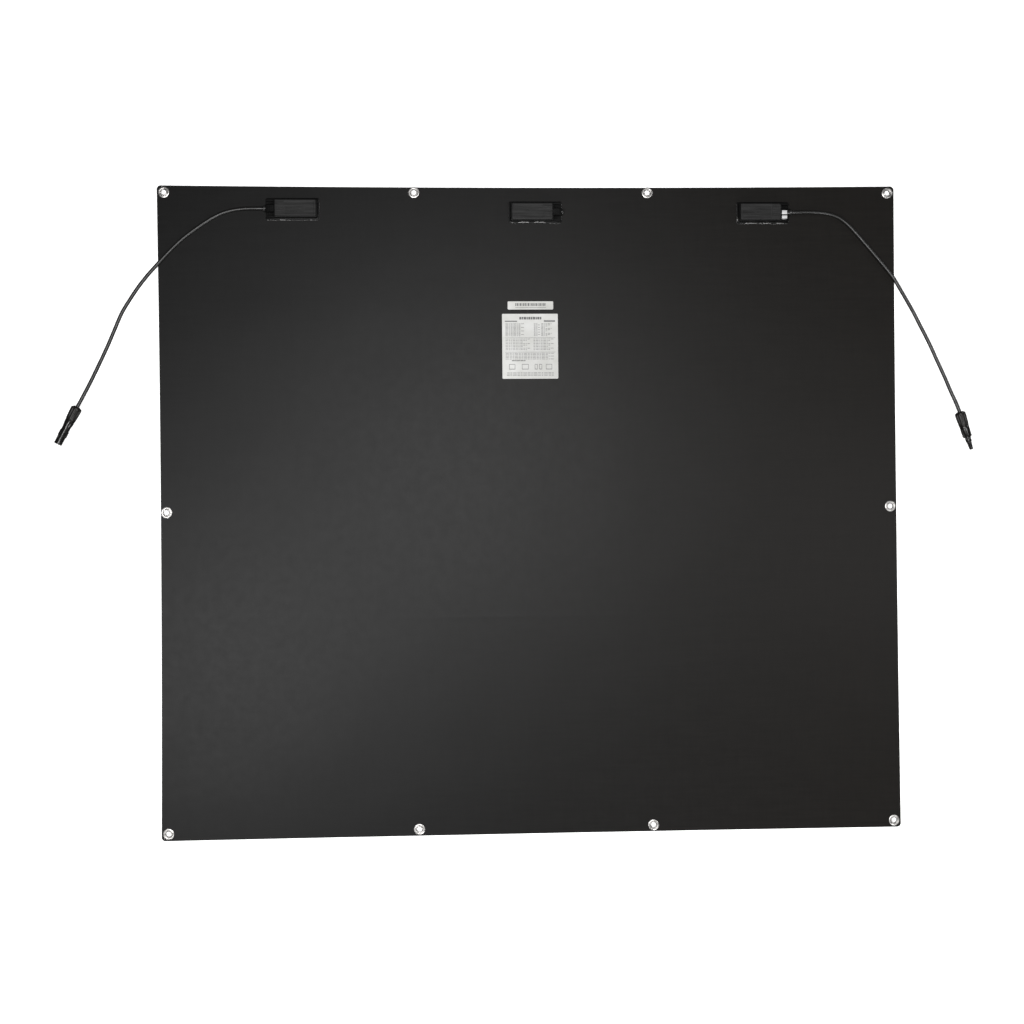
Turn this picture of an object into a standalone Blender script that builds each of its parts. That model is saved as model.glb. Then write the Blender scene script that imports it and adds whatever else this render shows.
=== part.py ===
"""Flexible solar sheet: a thin, glass-free solar module with its cells between plastic films.

The sheet lies on its front face, so its back, with three split junction boxes, is up. +X runs
along the long side, +Y towards the edge with the boxes, +Z up. The origin is at the middle of
the sheet, on the surface that the eyelets rest on. Units are metres.
"""
import math

import bmesh
import bpy
from mathutils import Vector

for old in list(bpy.data.objects):
    bpy.data.objects.remove(old, do_unlink=True)

MM = 0.001
GAP = 0.3 * MM  # clearance between pieces that touch on the real object
FILM_GAP = 0.05 * MM  # the same between flat layers of the laminate

# --- driving dimensions: the laminate --------------------------------------------------------
SHEET_W = 1143 * MM
SHEET_H = 1002 * MM
SHEET_CORNER_R = 6 * MM
FRONT_FILM_Z = (0.60 * MM, 0.90 * MM)
FRONT_ENCAPSULANT_Z = (0.95 * MM, 1.30 * MM)
CELL_Z = (1.35 * MM, 1.55 * MM)
REAR_ENCAPSULANT_Z = (1.60 * MM, 1.95 * MM)
BACK_FILM_Z = (2.00 * MM, 2.80 * MM)
EDGE_SEAL = 3 * MM  # the rear encapsulant folds down to the front one along the rim

# --- cells and ribbons -----------------------------------------------------------------------
COLUMNS = 6
CELLS_IN_STRING = 10
CELL_W = 182 * MM
CELL_H = 91 * MM
CELL_GAP = 1.5 * MM
COLUMN_PITCH = 184 * MM
TAB_W = 5 * MM
TAB_X = (-45.5 * MM, 45.5 * MM)  # ribbon tabs, from the middle of a column
BUS_W = 6 * MM
BUS_OVERHANG = 12 * MM  # how far a bus runs past the outer tab

# --- eyelets ---------------------------------------------------------------------------------
EYELET_X = (-561 * MM, -179 * MM, 183 * MM, 561 * MM)
EYELET_Y = 490.5 * MM
SIDE_EYELET_X = 560.5 * MM
EYELET_BORE_R = 4.0 * MM
EYELET_BARREL_R = 4.8 * MM
EYELET_FLANGE_R = 8.25 * MM
EYELET_HOLE_R = 5.3 * MM  # punched through every film
EYELET_TOP_Z = BACK_FILM_Z[1] + 1.1 * MM

# --- split junction boxes: place of the lid's middle, and the side that the cable port is on --
BOXES = {
    "left": (-360.0 * MM, 464.5 * MM, -1),
    "middle": (3.0 * MM, 459.5 * MM, 1),
    "right": (358.5 * MM, 459.0 * MM, 1),
}
BOX_Z = BACK_FILM_Z[1] + GAP
FLANGE_BACK = 36 * MM
FLANGE_PORT = 46.2 * MM
FLANGE_W = 34 * MM
FLANGE_T = 1.5 * MM
WALL_L = 66 * MM
WALL_W = 28 * MM
WALL_H = 9.5 * MM
CAVITY_L = 60 * MM
CAVITY_W = 22 * MM
FLOOR_T = 1.8 * MM
LID_L = 62 * MM
LID_W = 24.5 * MM
LID_T = 2.3 * MM
LID_CHAMFER = 0.8 * MM
SKIRT_L = CAVITY_L - 2 * GAP
SKIRT_W = CAVITY_W - 2 * GAP
SKIRT_T = 1.2 * MM
SKIRT_DEPTH = 2.0 * MM
PORT_Z = 5.0 * MM  # cable axis above the flange's underside
PORT_R = 4.3 * MM
NECK_W = 12 * MM
NECK_END = 46.2 * MM
ARM_W = 2.6 * MM
ARM_H = 5.5 * MM
SLOT_X = 12 * MM
SLOT_L = 3 * MM
SLOT_W = 7.2 * MM
RISER_TOP = 6.2 * MM
RIBBON_T = 0.2 * MM
TERMINAL_T = 0.8 * MM
DIODE_R = 3.5 * MM
DIODE_L = 9 * MM
DIODE_LEG_R = 0.6 * MM
DIODE_Y = -4.5 * MM
DIODE_Z = 6.0 * MM
GLAND_R = 4.0 * MM
GLAND_COLLAR_R = 4.7 * MM
GLAND_END = 49.6 * MM

# --- labels on the back film: middle and size ---------------------------------------------------
RATING_LABEL = (-1.5 * MM, 252.5 * MM, 86.5 * MM, 100.5 * MM)
SERIAL_LABEL = (-0.5 * MM, 315.7 * MM, 70.7 * MM, 12.6 * MM)
LABEL_Z = (BACK_FILM_Z[1] + 0.1 * MM, BACK_FILM_Z[1] + 0.3 * MM)

# --- leads ---------------------------------------------------------------------------------------
CABLE_R = 2.75 * MM
CABLE_STEP = 2.4 * 2 * CABLE_R  # from one point of the tube to the next
CONNECTOR_Z = 8.6 * MM  # axis height of a connector lying on the floor
CABLE_INSET = 15.7 * MM  # length of cable inside its connector
LEFT_CONNECTOR = (-692.2 * MM, 161.9 * MM)  # where the cable enters the nut
RIGHT_CONNECTOR = (670.4 * MM, 146.4 * MM)
LEFT_AXIS = Vector((-29.7, -55.8, 0)).normalized()
RIGHT_AXIS = Vector((18.1, -58.4, 0)).normalized()

# Each lead's route in millimetres: out of the port, down onto the back film, over the sheet's
# edge, down to the floor, and up to the connector's axis.
LEFT_ROUTE = (
    (-410.0, 464.5, 8.1), (-420.0, 464.5, 8.0), (-433.0, 464.6, 7.1), (-446.0, 463.8, 6.2),
    (-460.0, 461.4, 5.9), (-474.0, 457.0, 5.9), (-488.0, 450.0, 5.9), (-503.0, 440.4, 5.9),
    (-518.0, 429.8, 5.9), (-534.0, 417.2, 5.9), (-552.0, 399.8, 5.9), (-568.5, 382.0, 5.9),
    (-584.0, 365.0, 5.3), (-598.7, 347.1, 4.0), (-612.2, 327.7, 3.1), (-625.5, 305.8, 3.0),
    (-636.5, 280.6, 3.0), (-647.6, 254.6, 3.0), (-659.7, 228.5, 3.4), (-671.5, 203.2, 5.0),
    (-681.5, 182.6, 7.4), (-687.5, 170.8, 8.4), (-692.2, 161.9, 8.6),
)
RIGHT_ROUTE = (
    (408.5, 459.0, 8.1), (419.0, 459.2, 8.0), (432.0, 459.8, 7.1), (446.0, 459.6, 6.2),
    (460.0, 458.4, 5.9), (473.0, 455.6, 5.9), (485.5, 449.8, 5.9), (497.5, 440.4, 5.9),
    (509.0, 428.4, 5.9), (521.0, 414.6, 5.9), (533.0, 400.6, 5.9), (545.0, 386.4, 5.9),
    (557.0, 372.0, 5.9), (569.0, 356.6, 5.9), (579.8, 338.6, 5.4), (591.1, 319.9, 4.1),
    (601.1, 302.6, 3.2), (609.9, 285.2, 3.0), (624.5, 256.4, 3.0), (637.6, 227.0, 3.4),
    (647.9, 202.8, 5.0), (657.0, 179.0, 7.4), (664.1, 162.6, 8.4), (670.4, 146.4, 8.6),
)

# --- connectors: distances along the axis from the nut's back face, and radii ----------------------
MALE_LENGTH = 63.5 * MM
FEMALE_LENGTH = 61.5 * MM
NUT_LENGTH = 23 * MM
NUT_R = 8.2 * MM
NUT_BACK_R = 5.2 * MM
CABLE_HOLE_R = CABLE_R + GAP
THREAD_R = 5.7 * MM  # outer radius of the body's threaded tail
TAIL_BORE_R = 4.5 * MM
TAIL_START = 6.5 * MM
SEAL_Z = (4.3 * MM, 14 * MM)
COLLAR_R = 7.1 * MM
SHELL_R = 6.0 * MM
SHELL_BORE_R = 4.9 * MM
WEB = (27 * MM, 38 * MM)  # solid middle of a body, around the contact
CRIMP_R = 2.6 * MM
CRIMP = (16 * MM, 25 * MM)
PIN_R = 2.0 * MM
PIN_TIP = 55 * MM
PROBE_R = 3.2 * MM
PROBE_START = 41 * MM
FINGER_START = 27.5 * MM
FINGER_LENGTH = 14 * MM
FINGER_W = 6 * MM
FINGER_T = 2.2 * MM
FINGER_INNER = 4.3 * MM  # from the connector's axis to the finger's inner face
CORE_R = 3.2 * MM
O_RING_U = 43.5 * MM
O_RING_R = 0.7 * MM

SEGMENTS = 16
SMALL_SEGMENTS = 12


# --- materials ----------------------------------------------------------------------------------
def material(name, colour, roughness, metallic=0.0, alpha=1.0):
    made = bpy.data.materials.new(name)
    made.use_nodes = True
    made.diffuse_color = (*colour, alpha)
    shader = made.node_tree.nodes["Principled BSDF"]
    shader.inputs["Base Color"].default_value = (*colour, 1.0)
    shader.inputs["Roughness"].default_value = roughness
    shader.inputs["Metallic"].default_value = metallic
    shader.inputs["Alpha"].default_value = alpha
    return made


FRONT_FILM = material("front_film", (0.80, 0.84, 0.88), 0.30, alpha=0.3)
ENCAPSULANT = material("encapsulant", (0.75, 0.78, 0.80), 0.25, alpha=0.3)
BACK_FILM = material("back_film", (0.032, 0.032, 0.030), 0.55)
CELL = material("silicon_cell", (0.008, 0.011, 0.028), 0.25)
TINNED_COPPER = material("tinned_copper", (0.62, 0.62, 0.60), 0.35, 1.0)
COPPER = material("copper", (0.72, 0.42, 0.28), 0.35, 1.0)
BOX_PLASTIC = material("box_plastic", (0.030, 0.030, 0.030), 0.42)
LID_PLASTIC = material("lid_plastic", (0.060, 0.060, 0.058), 0.38)
DIODE_PLASTIC = material("diode_plastic", (0.020, 0.020, 0.022), 0.50)
CLAMP_PLASTIC = material("clamp_plastic", (0.45, 0.45, 0.44), 0.40)
PLUG_PLASTIC = material("plug_plastic", (0.035, 0.035, 0.035), 0.35)
EYELET_STEEL = material("eyelet_steel", (0.66, 0.66, 0.65), 0.22, 1.0)
LABEL_FILM = material("label_film", (0.74, 0.74, 0.73), 0.45)
CABLE_JACKET = material("cable_jacket", (0.018, 0.018, 0.018), 0.42)
CONNECTOR_PLASTIC = material("connector_plastic", (0.022, 0.021, 0.021), 0.25)
NUT_PLASTIC = material("nut_plastic", (0.045, 0.043, 0.040), 0.45)
SEAL_RUBBER = material("seal_rubber", (0.030, 0.030, 0.032), 0.70)


# --- building blocks ------------------------------------------------------------------------------
def add(name, bm, surface, parent=None, at=(0, 0, 0), turned_by=0.0, smooth=False):
    """Makes one named piece of a bmesh, at a place and a turn about Z."""
    bmesh.ops.recalc_face_normals(bm, faces=bm.faces)
    mesh = bpy.data.meshes.new(name)
    bm.to_mesh(mesh)
    bm.free()
    if smooth:
        mesh.shade_smooth()
        mesh.set_sharp_from_angle(angle=math.radians(35))
    mesh.materials.append(surface)
    piece = bpy.data.objects.new(name, mesh)
    piece.location = at
    piece.rotation_euler.z = turned_by
    piece.parent = parent
    bpy.context.collection.objects.link(piece)
    return piece


def tool(name, bm, parent=None):
    """A hidden shape for a Boolean."""
    piece = add(name, bm, BACK_FILM, parent)
    piece.hide_render = True
    piece.display_type = "WIRE"
    return piece


def combine(piece, other, operation):
    step = piece.modifiers.new(other.name, "BOOLEAN")
    step.operation = operation
    step.object = other
    step.solver = "EXACT"


def empty(name, at=(0, 0, 0), turned_by=0.0):
    place = bpy.data.objects.new(name, None)
    place.location = at
    place.rotation_euler.z = turned_by
    bpy.context.collection.objects.link(place)
    return place


def rounded_rectangle(width, height, radius, steps=4, middle=(0.0, 0.0)):
    points = []
    for quarter in range(4):
        sign_x = (1, -1, -1, 1)[quarter]
        sign_y = (1, 1, -1, -1)[quarter]
        centre_x = middle[0] + sign_x * (width / 2 - radius)
        centre_y = middle[1] + sign_y * (height / 2 - radius)
        for step in range(steps + 1):
            angle = math.pi / 2 * (quarter + step / steps)
            points.append((centre_x + radius * math.cos(angle), centre_y + radius * math.sin(angle)))
    return points


def rectangle(low, high):
    return [(low[0], low[1]), (high[0], low[1]), (high[0], high[1]), (low[0], high[1])]


def circle(radius, steps, middle=(0.0, 0.0)):
    turn = 2 * math.pi / steps
    return [
        (middle[0] + radius * math.cos(turn * (k + 0.5)), middle[1] + radius * math.sin(turn * (k + 0.5)))
        for k in range(steps)
    ]


def stack(bm, sections):
    """Closed solid through outlines of one length, each at its own height."""
    rings = [[bm.verts.new((x, y, z)) for x, y in outline] for outline, z in sections]
    count = len(rings[0])
    for lower, upper in zip(rings, rings[1:]):
        for k in range(count):
            after = (k + 1) % count
            bm.faces.new((lower[k], lower[after], upper[after], upper[k]))
    bm.faces.new(list(reversed(rings[0])))
    bm.faces.new(rings[-1])


def prism(outline, z_low, z_high, bm=None):
    bm = bm or bmesh.new()
    stack(bm, [(outline, z_low), (outline, z_high)])
    return bm


def turned(profile, steps, along="Z"):
    """Solid of revolution of a closed profile of (distance along the axis, radius) points."""
    bm = bmesh.new()
    if along == "Z":
        verts = [bm.verts.new((r, 0, u)) for u, r in profile]
        axis = (0, 0, 1)
    else:
        verts = [bm.verts.new((u, r, 0)) for u, r in profile]
        axis = (1, 0, 0)
    edges = [bm.edges.new((a, b)) for a, b in zip(verts, verts[1:] + verts[:1])]
    on_axis = [e for e, (a, b) in zip(edges, zip(profile, profile[1:] + profile[:1])) if a[1] == b[1] == 0]
    for edge in on_axis:
        edges.remove(edge)
        bm.edges.remove(edge)
    bmesh.ops.spin(
        bm, geom=verts + edges, cent=(0, 0, 0), axis=axis, dvec=(0, 0, 0),
        angle=2 * math.pi, steps=steps, use_merge=True,
    )
    bmesh.ops.remove_doubles(bm, verts=bm.verts, dist=0.001 * MM)
    return bm


def folded_strip(points, thickness, y_low, y_high):
    """A metal strip folded at right angles along points (x, z), from y_low to y_high."""
    left, right = [], []
    for k, (x, z) in enumerate(points):
        normals = []
        for a, b in ((k - 1, k), (k, k + 1)):
            if a >= 0 and b < len(points):
                step = Vector(points[b]) - Vector(points[a])
                normals.append(Vector((-step.y, step.x)).normalized())
        offset = sum(normals, Vector((0, 0))) * (thickness / 2)
        left.append((x + offset.x, z + offset.y))
        right.append((x - offset.x, z - offset.y))
    outline = left + right[::-1]
    bm = bmesh.new()
    near = [bm.verts.new((x, y_low, z)) for x, z in outline]
    far = [bm.verts.new((x, y_high, z)) for x, z in outline]
    for k in range(len(outline)):
        after = (k + 1) % len(outline)
        bm.faces.new((near[k], near[after], far[after], far[k]))
    bm.faces.new(list(reversed(near)))
    bm.faces.new(far)
    return bm


def grid_plate(xs, ys, kept, z_low, z_high):
    """Flat plate made of the kept rectangles of a grid, as one closed solid."""
    bm = bmesh.new()
    made = {}

    def corner(i, j, z):
        if (i, j, z) not in made:
            made[i, j, z] = bm.verts.new((xs[i], ys[j], z))
        return made[i, j, z]

    for i in range(len(xs) - 1):
        for j in range(len(ys) - 1):
            if not kept(i, j):
                continue
            around = [(i, j), (i + 1, j), (i + 1, j + 1), (i, j + 1)]
            bm.faces.new([corner(*at, z_high) for at in around])
            bm.faces.new([corner(*at, z_low) for at in reversed(around)])
            neighbours = [(i, j - 1), (i + 1, j), (i, j + 1), (i - 1, j)]
            for side, neighbour in enumerate(neighbours):
                inside = 0 <= neighbour[0] < len(xs) - 1 and 0 <= neighbour[1] < len(ys) - 1
                if not (inside and kept(*neighbour)):
                    a, b = around[side], around[(side + 1) % 4]
                    bm.faces.new((corner(*a, z_low), corner(*b, z_low), corner(*b, z_high), corner(*a, z_high)))
    return bm


def smooth_route(points, step):
    """Points an even step apart on a Catmull-Rom curve through a route."""
    ends = [2 * points[0] - points[1], *points, 2 * points[-1] - points[-2]]
    dense = []
    for a, b, c, d in zip(ends, ends[1:], ends[2:], ends[3:]):
        for k in range(24):
            t = k / 24
            dense.append(
                0.5 * (2 * b + (c - a) * t + (2 * a - 5 * b + 4 * c - d) * t * t
                       + (3 * b - a - 3 * c + d) * t ** 3)
            )
    dense.append(points[-1])
    lengths = [0.0]
    for a, b in zip(dense, dense[1:]):
        lengths.append(lengths[-1] + (b - a).length)
    count = max(2, round(lengths[-1] / step))
    even, k = [], 0
    for n in range(count + 1):
        wanted = lengths[-1] * n / count
        while k < len(dense) - 2 and lengths[k + 1] < wanted:
            k += 1
        part = (wanted - lengths[k]) / (lengths[k + 1] - lengths[k])
        even.append(dense[k].lerp(dense[k + 1], part))
    return even


# --- places that several pieces share ---------------------------------------------------------------
def eyelet_places():
    places = {}
    for row, y in (("top", EYELET_Y), ("bottom", -EYELET_Y)):
        for column, x in enumerate(EYELET_X, start=1):
            places[f"eyelet_{row}_{column}"] = (x, y)
    places["eyelet_left"] = (-SIDE_EYELET_X, 0.0)
    places["eyelet_right"] = (SIDE_EYELET_X, 0.0)
    return places


def column_middle(column):
    return (column - (COLUMNS - 1) / 2) * COLUMN_PITCH


STRING_HALF = (CELLS_IN_STRING * CELL_H + (CELLS_IN_STRING - 1) * CELL_GAP) / 2
BUS_Y = STRING_HALF + 2.5 * GAP + BUS_W / 2


def riser_places():
    """The x of every ribbon that rises through the back film, two to a box."""
    return [x + side * SLOT_X for x, _, _ in BOXES.values() for side in (-1, 1)]


# --- the laminate -------------------------------------------------------------------------------------
def build_films():
    holes = bmesh.new()
    for x, y in eyelet_places().values():
        prism(circle(EYELET_HOLE_R, SMALL_SEGMENTS, (x, y)), -2 * MM, 6 * MM, holes)
    eyelet_holes = tool("tool_eyelet_holes", holes)

    slots = bmesh.new()
    for x in riser_places():
        low = (x - SLOT_L / 2, BUS_Y - SLOT_W / 2)
        high = (x + SLOT_L / 2, BUS_Y + SLOT_W / 2)
        prism(rectangle(low, high), 1.45 * MM, 6 * MM, slots)
    ribbon_slots = tool("tool_ribbon_slots", slots)

    pocket = tool(
        "tool_cell_pocket",
        prism(
            rounded_rectangle(SHEET_W - 2 * EDGE_SEAL, SHEET_H - 2 * EDGE_SEAL, SHEET_CORNER_R / 2),
            0.0, REAR_ENCAPSULANT_Z[0],
        ),
    )
    outline = rounded_rectangle(SHEET_W, SHEET_H, SHEET_CORNER_R)
    films = (
        ("front_film", FRONT_FILM_Z, FRONT_FILM, ()),
        ("front_encapsulant", FRONT_ENCAPSULANT_Z, ENCAPSULANT, ()),
        ("rear_encapsulant", (CELL_Z[0], REAR_ENCAPSULANT_Z[1]), ENCAPSULANT, (pocket, ribbon_slots)),
        ("back_film", BACK_FILM_Z, BACK_FILM, (ribbon_slots,)),
    )
    for name, (z_low, z_high), surface, cutters in films:
        film = add(name, prism(outline, z_low, z_high), surface)
        for cutter in (*cutters, eyelet_holes):
            combine(film, cutter, "DIFFERENCE")


def build_cell_strings():
    """Each column of half-cut cells, joined by its ribbon tabs, which also reach to the buses."""
    xs = [-CELL_W / 2]
    for tab in TAB_X:
        xs += [tab - TAB_W / 2, tab + TAB_W / 2]
    xs.append(CELL_W / 2)
    bus_reach = BUS_Y - BUS_W / 2 - GAP
    ys = [-bus_reach]
    for cell in range(CELLS_IN_STRING):
        low = -STRING_HALF + cell * (CELL_H + CELL_GAP)
        ys += [low, low + CELL_H]
    ys.append(bus_reach)

    def kept(i, j):
        return j % 2 == 1 or i % 2 == 1  # a cell's row is whole; between cells only the tabs are

    for column in range(COLUMNS):
        add(
            f"cell_string_{column + 1}", grid_plate(xs, ys, kept, *CELL_Z), CELL,
            at=(column_middle(column), 0, 0),
        )


def build_buses():
    """Folded ribbons: four along the boxes' edge, with ends that rise into the boxes, three below."""
    middle_z = sum(CELL_Z) / 2
    riser_top = BOX_Z + RISER_TOP
    reach = TAB_X[1] + BUS_OVERHANG
    risers = riser_places()
    top_runs = (
        [(column_middle(0) - reach, middle_z), (risers[0], middle_z), (risers[0], riser_top)],
        [(risers[1], riser_top), (risers[1], middle_z), (risers[2], middle_z), (risers[2], riser_top)],
        [(risers[3], riser_top), (risers[3], middle_z), (risers[4], middle_z), (risers[4], riser_top)],
        [(risers[5], riser_top), (risers[5], middle_z), (column_middle(5) + reach, middle_z)],
    )
    y_low, y_high = BUS_Y - BUS_W / 2, BUS_Y + BUS_W / 2
    for number, run in enumerate(top_runs, start=1):
        add(f"top_bus_ribbon_{number}", folded_strip(run, RIBBON_T, y_low, y_high), TINNED_COPPER)
    for pair in range(COLUMNS // 2):
        run = [(column_middle(2 * pair) - reach, middle_z), (column_middle(2 * pair + 1) + reach, middle_z)]
        add(
            f"bottom_bus_ribbon_{pair + 1}", folded_strip(run, RIBBON_T, -y_high, -y_low),
            TINNED_COPPER,
        )


def build_eyelets():
    flange_low = FRONT_FILM_Z[0] - 0.1 * MM
    flange_high = BACK_FILM_Z[1] + 0.1 * MM
    profile = [
        (0.0, EYELET_BORE_R + 0.5 * MM),
        (0.0, EYELET_FLANGE_R - 0.4 * MM),
        (flange_low, EYELET_FLANGE_R),
        (flange_low, EYELET_BARREL_R),
        (flange_high, EYELET_BARREL_R),
        (flange_high, EYELET_FLANGE_R),
        (flange_high + 0.45 * MM, EYELET_FLANGE_R - 0.2 * MM),
        (EYELET_TOP_Z, EYELET_FLANGE_R - 1.4 * MM),
        (EYELET_TOP_Z, EYELET_BORE_R + 0.9 * MM),
        (EYELET_TOP_Z - 0.8 * MM, EYELET_BORE_R),
        (0.5 * MM, EYELET_BORE_R),
    ]
    for name, (x, y) in eyelet_places().items():
        add(name, turned(profile, SEGMENTS), EYELET_STEEL, at=(x, y, 0), smooth=True)


# --- junction boxes -------------------------------------------------------------------------------------
def build_box(side):
    """One split junction box; every x is multiplied by the port's direction."""
    centre_x, centre_y, port = BOXES[side]
    place = empty(f"{side}_box_place", (centre_x, centre_y, BOX_Z))

    def across(x_low, x_high):
        return sorted((port * x_low, port * x_high))

    def block(x_range, half_width, z_low, z_high, radius):
        low, high = across(*x_range)
        outline = rounded_rectangle(high - low, 2 * half_width, radius, 3, ((low + high) / 2, 0))
        return prism(outline, z_low, z_high)

    base = add(
        f"{side}_box_base",
        block((-FLANGE_BACK, FLANGE_PORT), FLANGE_W / 2, 0.0, FLANGE_T, 3 * MM), BOX_PLASTIC, place,
    )
    walls = block((-WALL_L / 2, WALL_L / 2), WALL_W / 2, 0.5 * MM, WALL_H, 2 * MM)
    neck = block((WALL_L / 2 - 3 * MM, NECK_END), NECK_W / 2, 0.5 * MM, WALL_H - 0.4 * MM, 1 * MM)
    arms = bmesh.new()
    low, high = across(WALL_L / 2 - 2 * MM, NECK_END - 0.8 * MM)
    for sign in (-1, 1):
        y_low, y_high = sorted((sign * WALL_W / 2, sign * (WALL_W / 2 - ARM_W)))
        prism(rectangle((low, y_low), (high, y_high)), 0.7 * MM, ARM_H, arms)
    cavity = block((-CAVITY_L / 2, CAVITY_L / 2), CAVITY_W / 2, FLOOR_T, WALL_H + 2 * MM, 1.5 * MM)
    port_hole = turned(
        [
            (port * (CAVITY_L / 2 - 2 * MM), 0), (port * (CAVITY_L / 2 - 2 * MM), PORT_R),
            (port * (NECK_END + 4 * MM), PORT_R), (port * (NECK_END + 4 * MM), 0),
        ],
        SMALL_SEGMENTS, "X",
    )
    for vert in port_hole.verts:
        vert.co.z += PORT_Z
    slots = bmesh.new()
    slot_y = BUS_Y - centre_y
    for sign in (-1, 1):
        corner = (sign * SLOT_X - SLOT_L / 2, slot_y - SLOT_W / 2)
        prism(rectangle(corner, (corner[0] + SLOT_L, corner[1] + SLOT_W)), -2 * MM, 3 * MM, slots)
    for part, bm, operation in (
        ("walls", walls, "UNION"), ("neck", neck, "UNION"), ("arms", arms, "UNION"),
        ("cavity", cavity, "DIFFERENCE"), ("port", port_hole, "DIFFERENCE"), ("slots", slots, "DIFFERENCE"),
    ):
        combine(base, tool(f"tool_{side}_{part}", bm, place), operation)

    build_lid(side, place)
    build_box_inside(side, place)
    gland_start = CAVITY_L / 2 + 0.5 * MM
    profile = [
        (gland_start, 0), (gland_start, GLAND_R), (NECK_END + GAP, GLAND_R),
        (NECK_END + GAP, GLAND_COLLAR_R), (GLAND_END - 1 * MM, GLAND_COLLAR_R), (GLAND_END, 3.6 * MM),
        (GLAND_END, 0),
    ]
    gland = turned([(port * u, r) for u, r in profile], SMALL_SEGMENTS, "X")
    if side == "middle":
        add("middle_box_blank_plug", gland, PLUG_PLASTIC, place, (0, 0, PORT_Z), smooth=True)
    else:
        add(f"{side}_cable_gland", gland, CLAMP_PLASTIC, place, (0, 0, PORT_Z), smooth=True)


def build_lid(side, place):
    """A push-on lid: a chamfered plate on the walls, with a skirt inside the cavity."""
    plate_z = WALL_H + GAP
    outer = rounded_rectangle(LID_L, LID_W, 1.6 * MM, 3)
    inset = rounded_rectangle(LID_L - 2 * LID_CHAMFER, LID_W - 2 * LID_CHAMFER, 1.0 * MM, 3)
    plate = bmesh.new()
    stack(plate, [(outer, 0), (outer, LID_T - LID_CHAMFER), (inset, LID_T)])
    lid = add(f"{side}_box_lid", plate, LID_PLASTIC, place, (0, 0, plate_z))
    skirt = prism(
        rounded_rectangle(SKIRT_L, SKIRT_W, 1.2 * MM, 3), plate_z - SKIRT_DEPTH, plate_z + 0.8 * MM
    )
    hollow = prism(
        rounded_rectangle(SKIRT_L - 2 * SKIRT_T, SKIRT_W - 2 * SKIRT_T, 0.8 * MM, 3),
        plate_z - 2 * SKIRT_DEPTH, plate_z + 0.4 * MM,
    )
    combine(lid, tool(f"tool_{side}_skirt", skirt, place), "UNION")
    combine(lid, tool(f"tool_{side}_lid_hollow", hollow, place), "DIFFERENCE")


def build_box_inside(side, place):
    """Two folded copper terminals and the bypass diode between them."""
    blade_x = SLOT_X + RIBBON_T / 2 + 1 * MM + TERMINAL_T / 2
    foot_z = FLOOR_T + GAP + TERMINAL_T / 2
    for name, sign in (("outer", -1), ("inner", 1)):
        run = [(sign * blade_x, RISER_TOP + 0.4 * MM), (sign * blade_x, foot_z), (sign * 24 * MM, foot_z)]
        strip = folded_strip(run, TERMINAL_T, -8 * MM, 7.5 * MM)
        add(f"{side}_box_terminal_{'a' if sign < 0 else 'b'}", strip, COPPER, place)
    leg_end = blade_x - TERMINAL_T / 2 - GAP
    profile = [
        (-leg_end, 0), (-leg_end, DIODE_LEG_R), (-DIODE_L / 2, DIODE_LEG_R), (-DIODE_L / 2, DIODE_R),
        (DIODE_L / 2, DIODE_R), (DIODE_L / 2, DIODE_LEG_R), (leg_end, DIODE_LEG_R), (leg_end, 0),
    ]
    add(
        f"{side}_bypass_diode", turned(profile, SMALL_SEGMENTS, "X"), DIODE_PLASTIC, place,
        (0, DIODE_Y, DIODE_Z), smooth=True,
    )


# --- labels ------------------------------------------------------------------------------------------------
def build_labels():
    for name, (x, y, width, height) in (("rating_label", RATING_LABEL), ("serial_label", SERIAL_LABEL)):
        add(name, prism(rounded_rectangle(width, height, 1.5 * MM, 2, (x, y)), *LABEL_Z), LABEL_FILM)


# --- leads and connectors -------------------------------------------------------------------------------------
def build_cable(name, route, connector_axis):
    """Single-core cable: a bevelled curve along its route and on into the connector."""
    points = [Vector(point) * MM for point in route]
    points.append(points[-1] + connector_axis * CABLE_INSET)
    even = smooth_route(points, CABLE_STEP)
    curve = bpy.data.curves.new(name, "CURVE")
    curve.dimensions = "3D"
    curve.bevel_depth = CABLE_R
    curve.bevel_resolution = 3
    curve.render_resolution_u = 0
    curve.use_fill_caps = True
    spline = curve.splines.new("POLY")
    spline.points.add(len(even) - 1)
    for slot, point in zip(spline.points, even):
        slot.co = (*point, 1.0)
    curve.materials.append(CABLE_JACKET)
    bpy.context.collection.objects.link(bpy.data.objects.new(name, curve))


def nut_profile():
    return [
        (0.0, CABLE_HOLE_R), (0.0, NUT_BACK_R), (3 * MM, NUT_R - 0.7 * MM), (6 * MM, NUT_R),
        (NUT_LENGTH - 1 * MM, NUT_R), (NUT_LENGTH, NUT_R - 0.6 * MM), (NUT_LENGTH, THREAD_R + GAP),
        (SEAL_Z[0] - GAP, THREAD_R + GAP), (SEAL_Z[0] - GAP, CABLE_HOLE_R),
    ]


def seal_profile():
    radius = TAIL_BORE_R - GAP
    return [
        (SEAL_Z[0], CABLE_HOLE_R), (SEAL_Z[0], radius), (SEAL_Z[1], radius), (SEAL_Z[1], CABLE_HOLE_R),
    ]


def tail_profile():
    """The threaded tail's outside, from its open end to the collar against the nut."""
    collar = NUT_LENGTH + GAP
    return [(TAIL_START, TAIL_BORE_R), (TAIL_START, THREAD_R), (collar, THREAD_R), (collar, COLLAR_R)]


def male_body_profile():
    contact_hole = PIN_R + GAP
    return tail_profile() + [
        (27.5 * MM, COLLAR_R), (34 * MM, SHELL_R), (MALE_LENGTH, SHELL_R),
        (MALE_LENGTH, SHELL_BORE_R), (WEB[1], SHELL_BORE_R), (WEB[1], contact_hole),
        (WEB[0], contact_hole), (WEB[0], TAIL_BORE_R),
    ]


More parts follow.
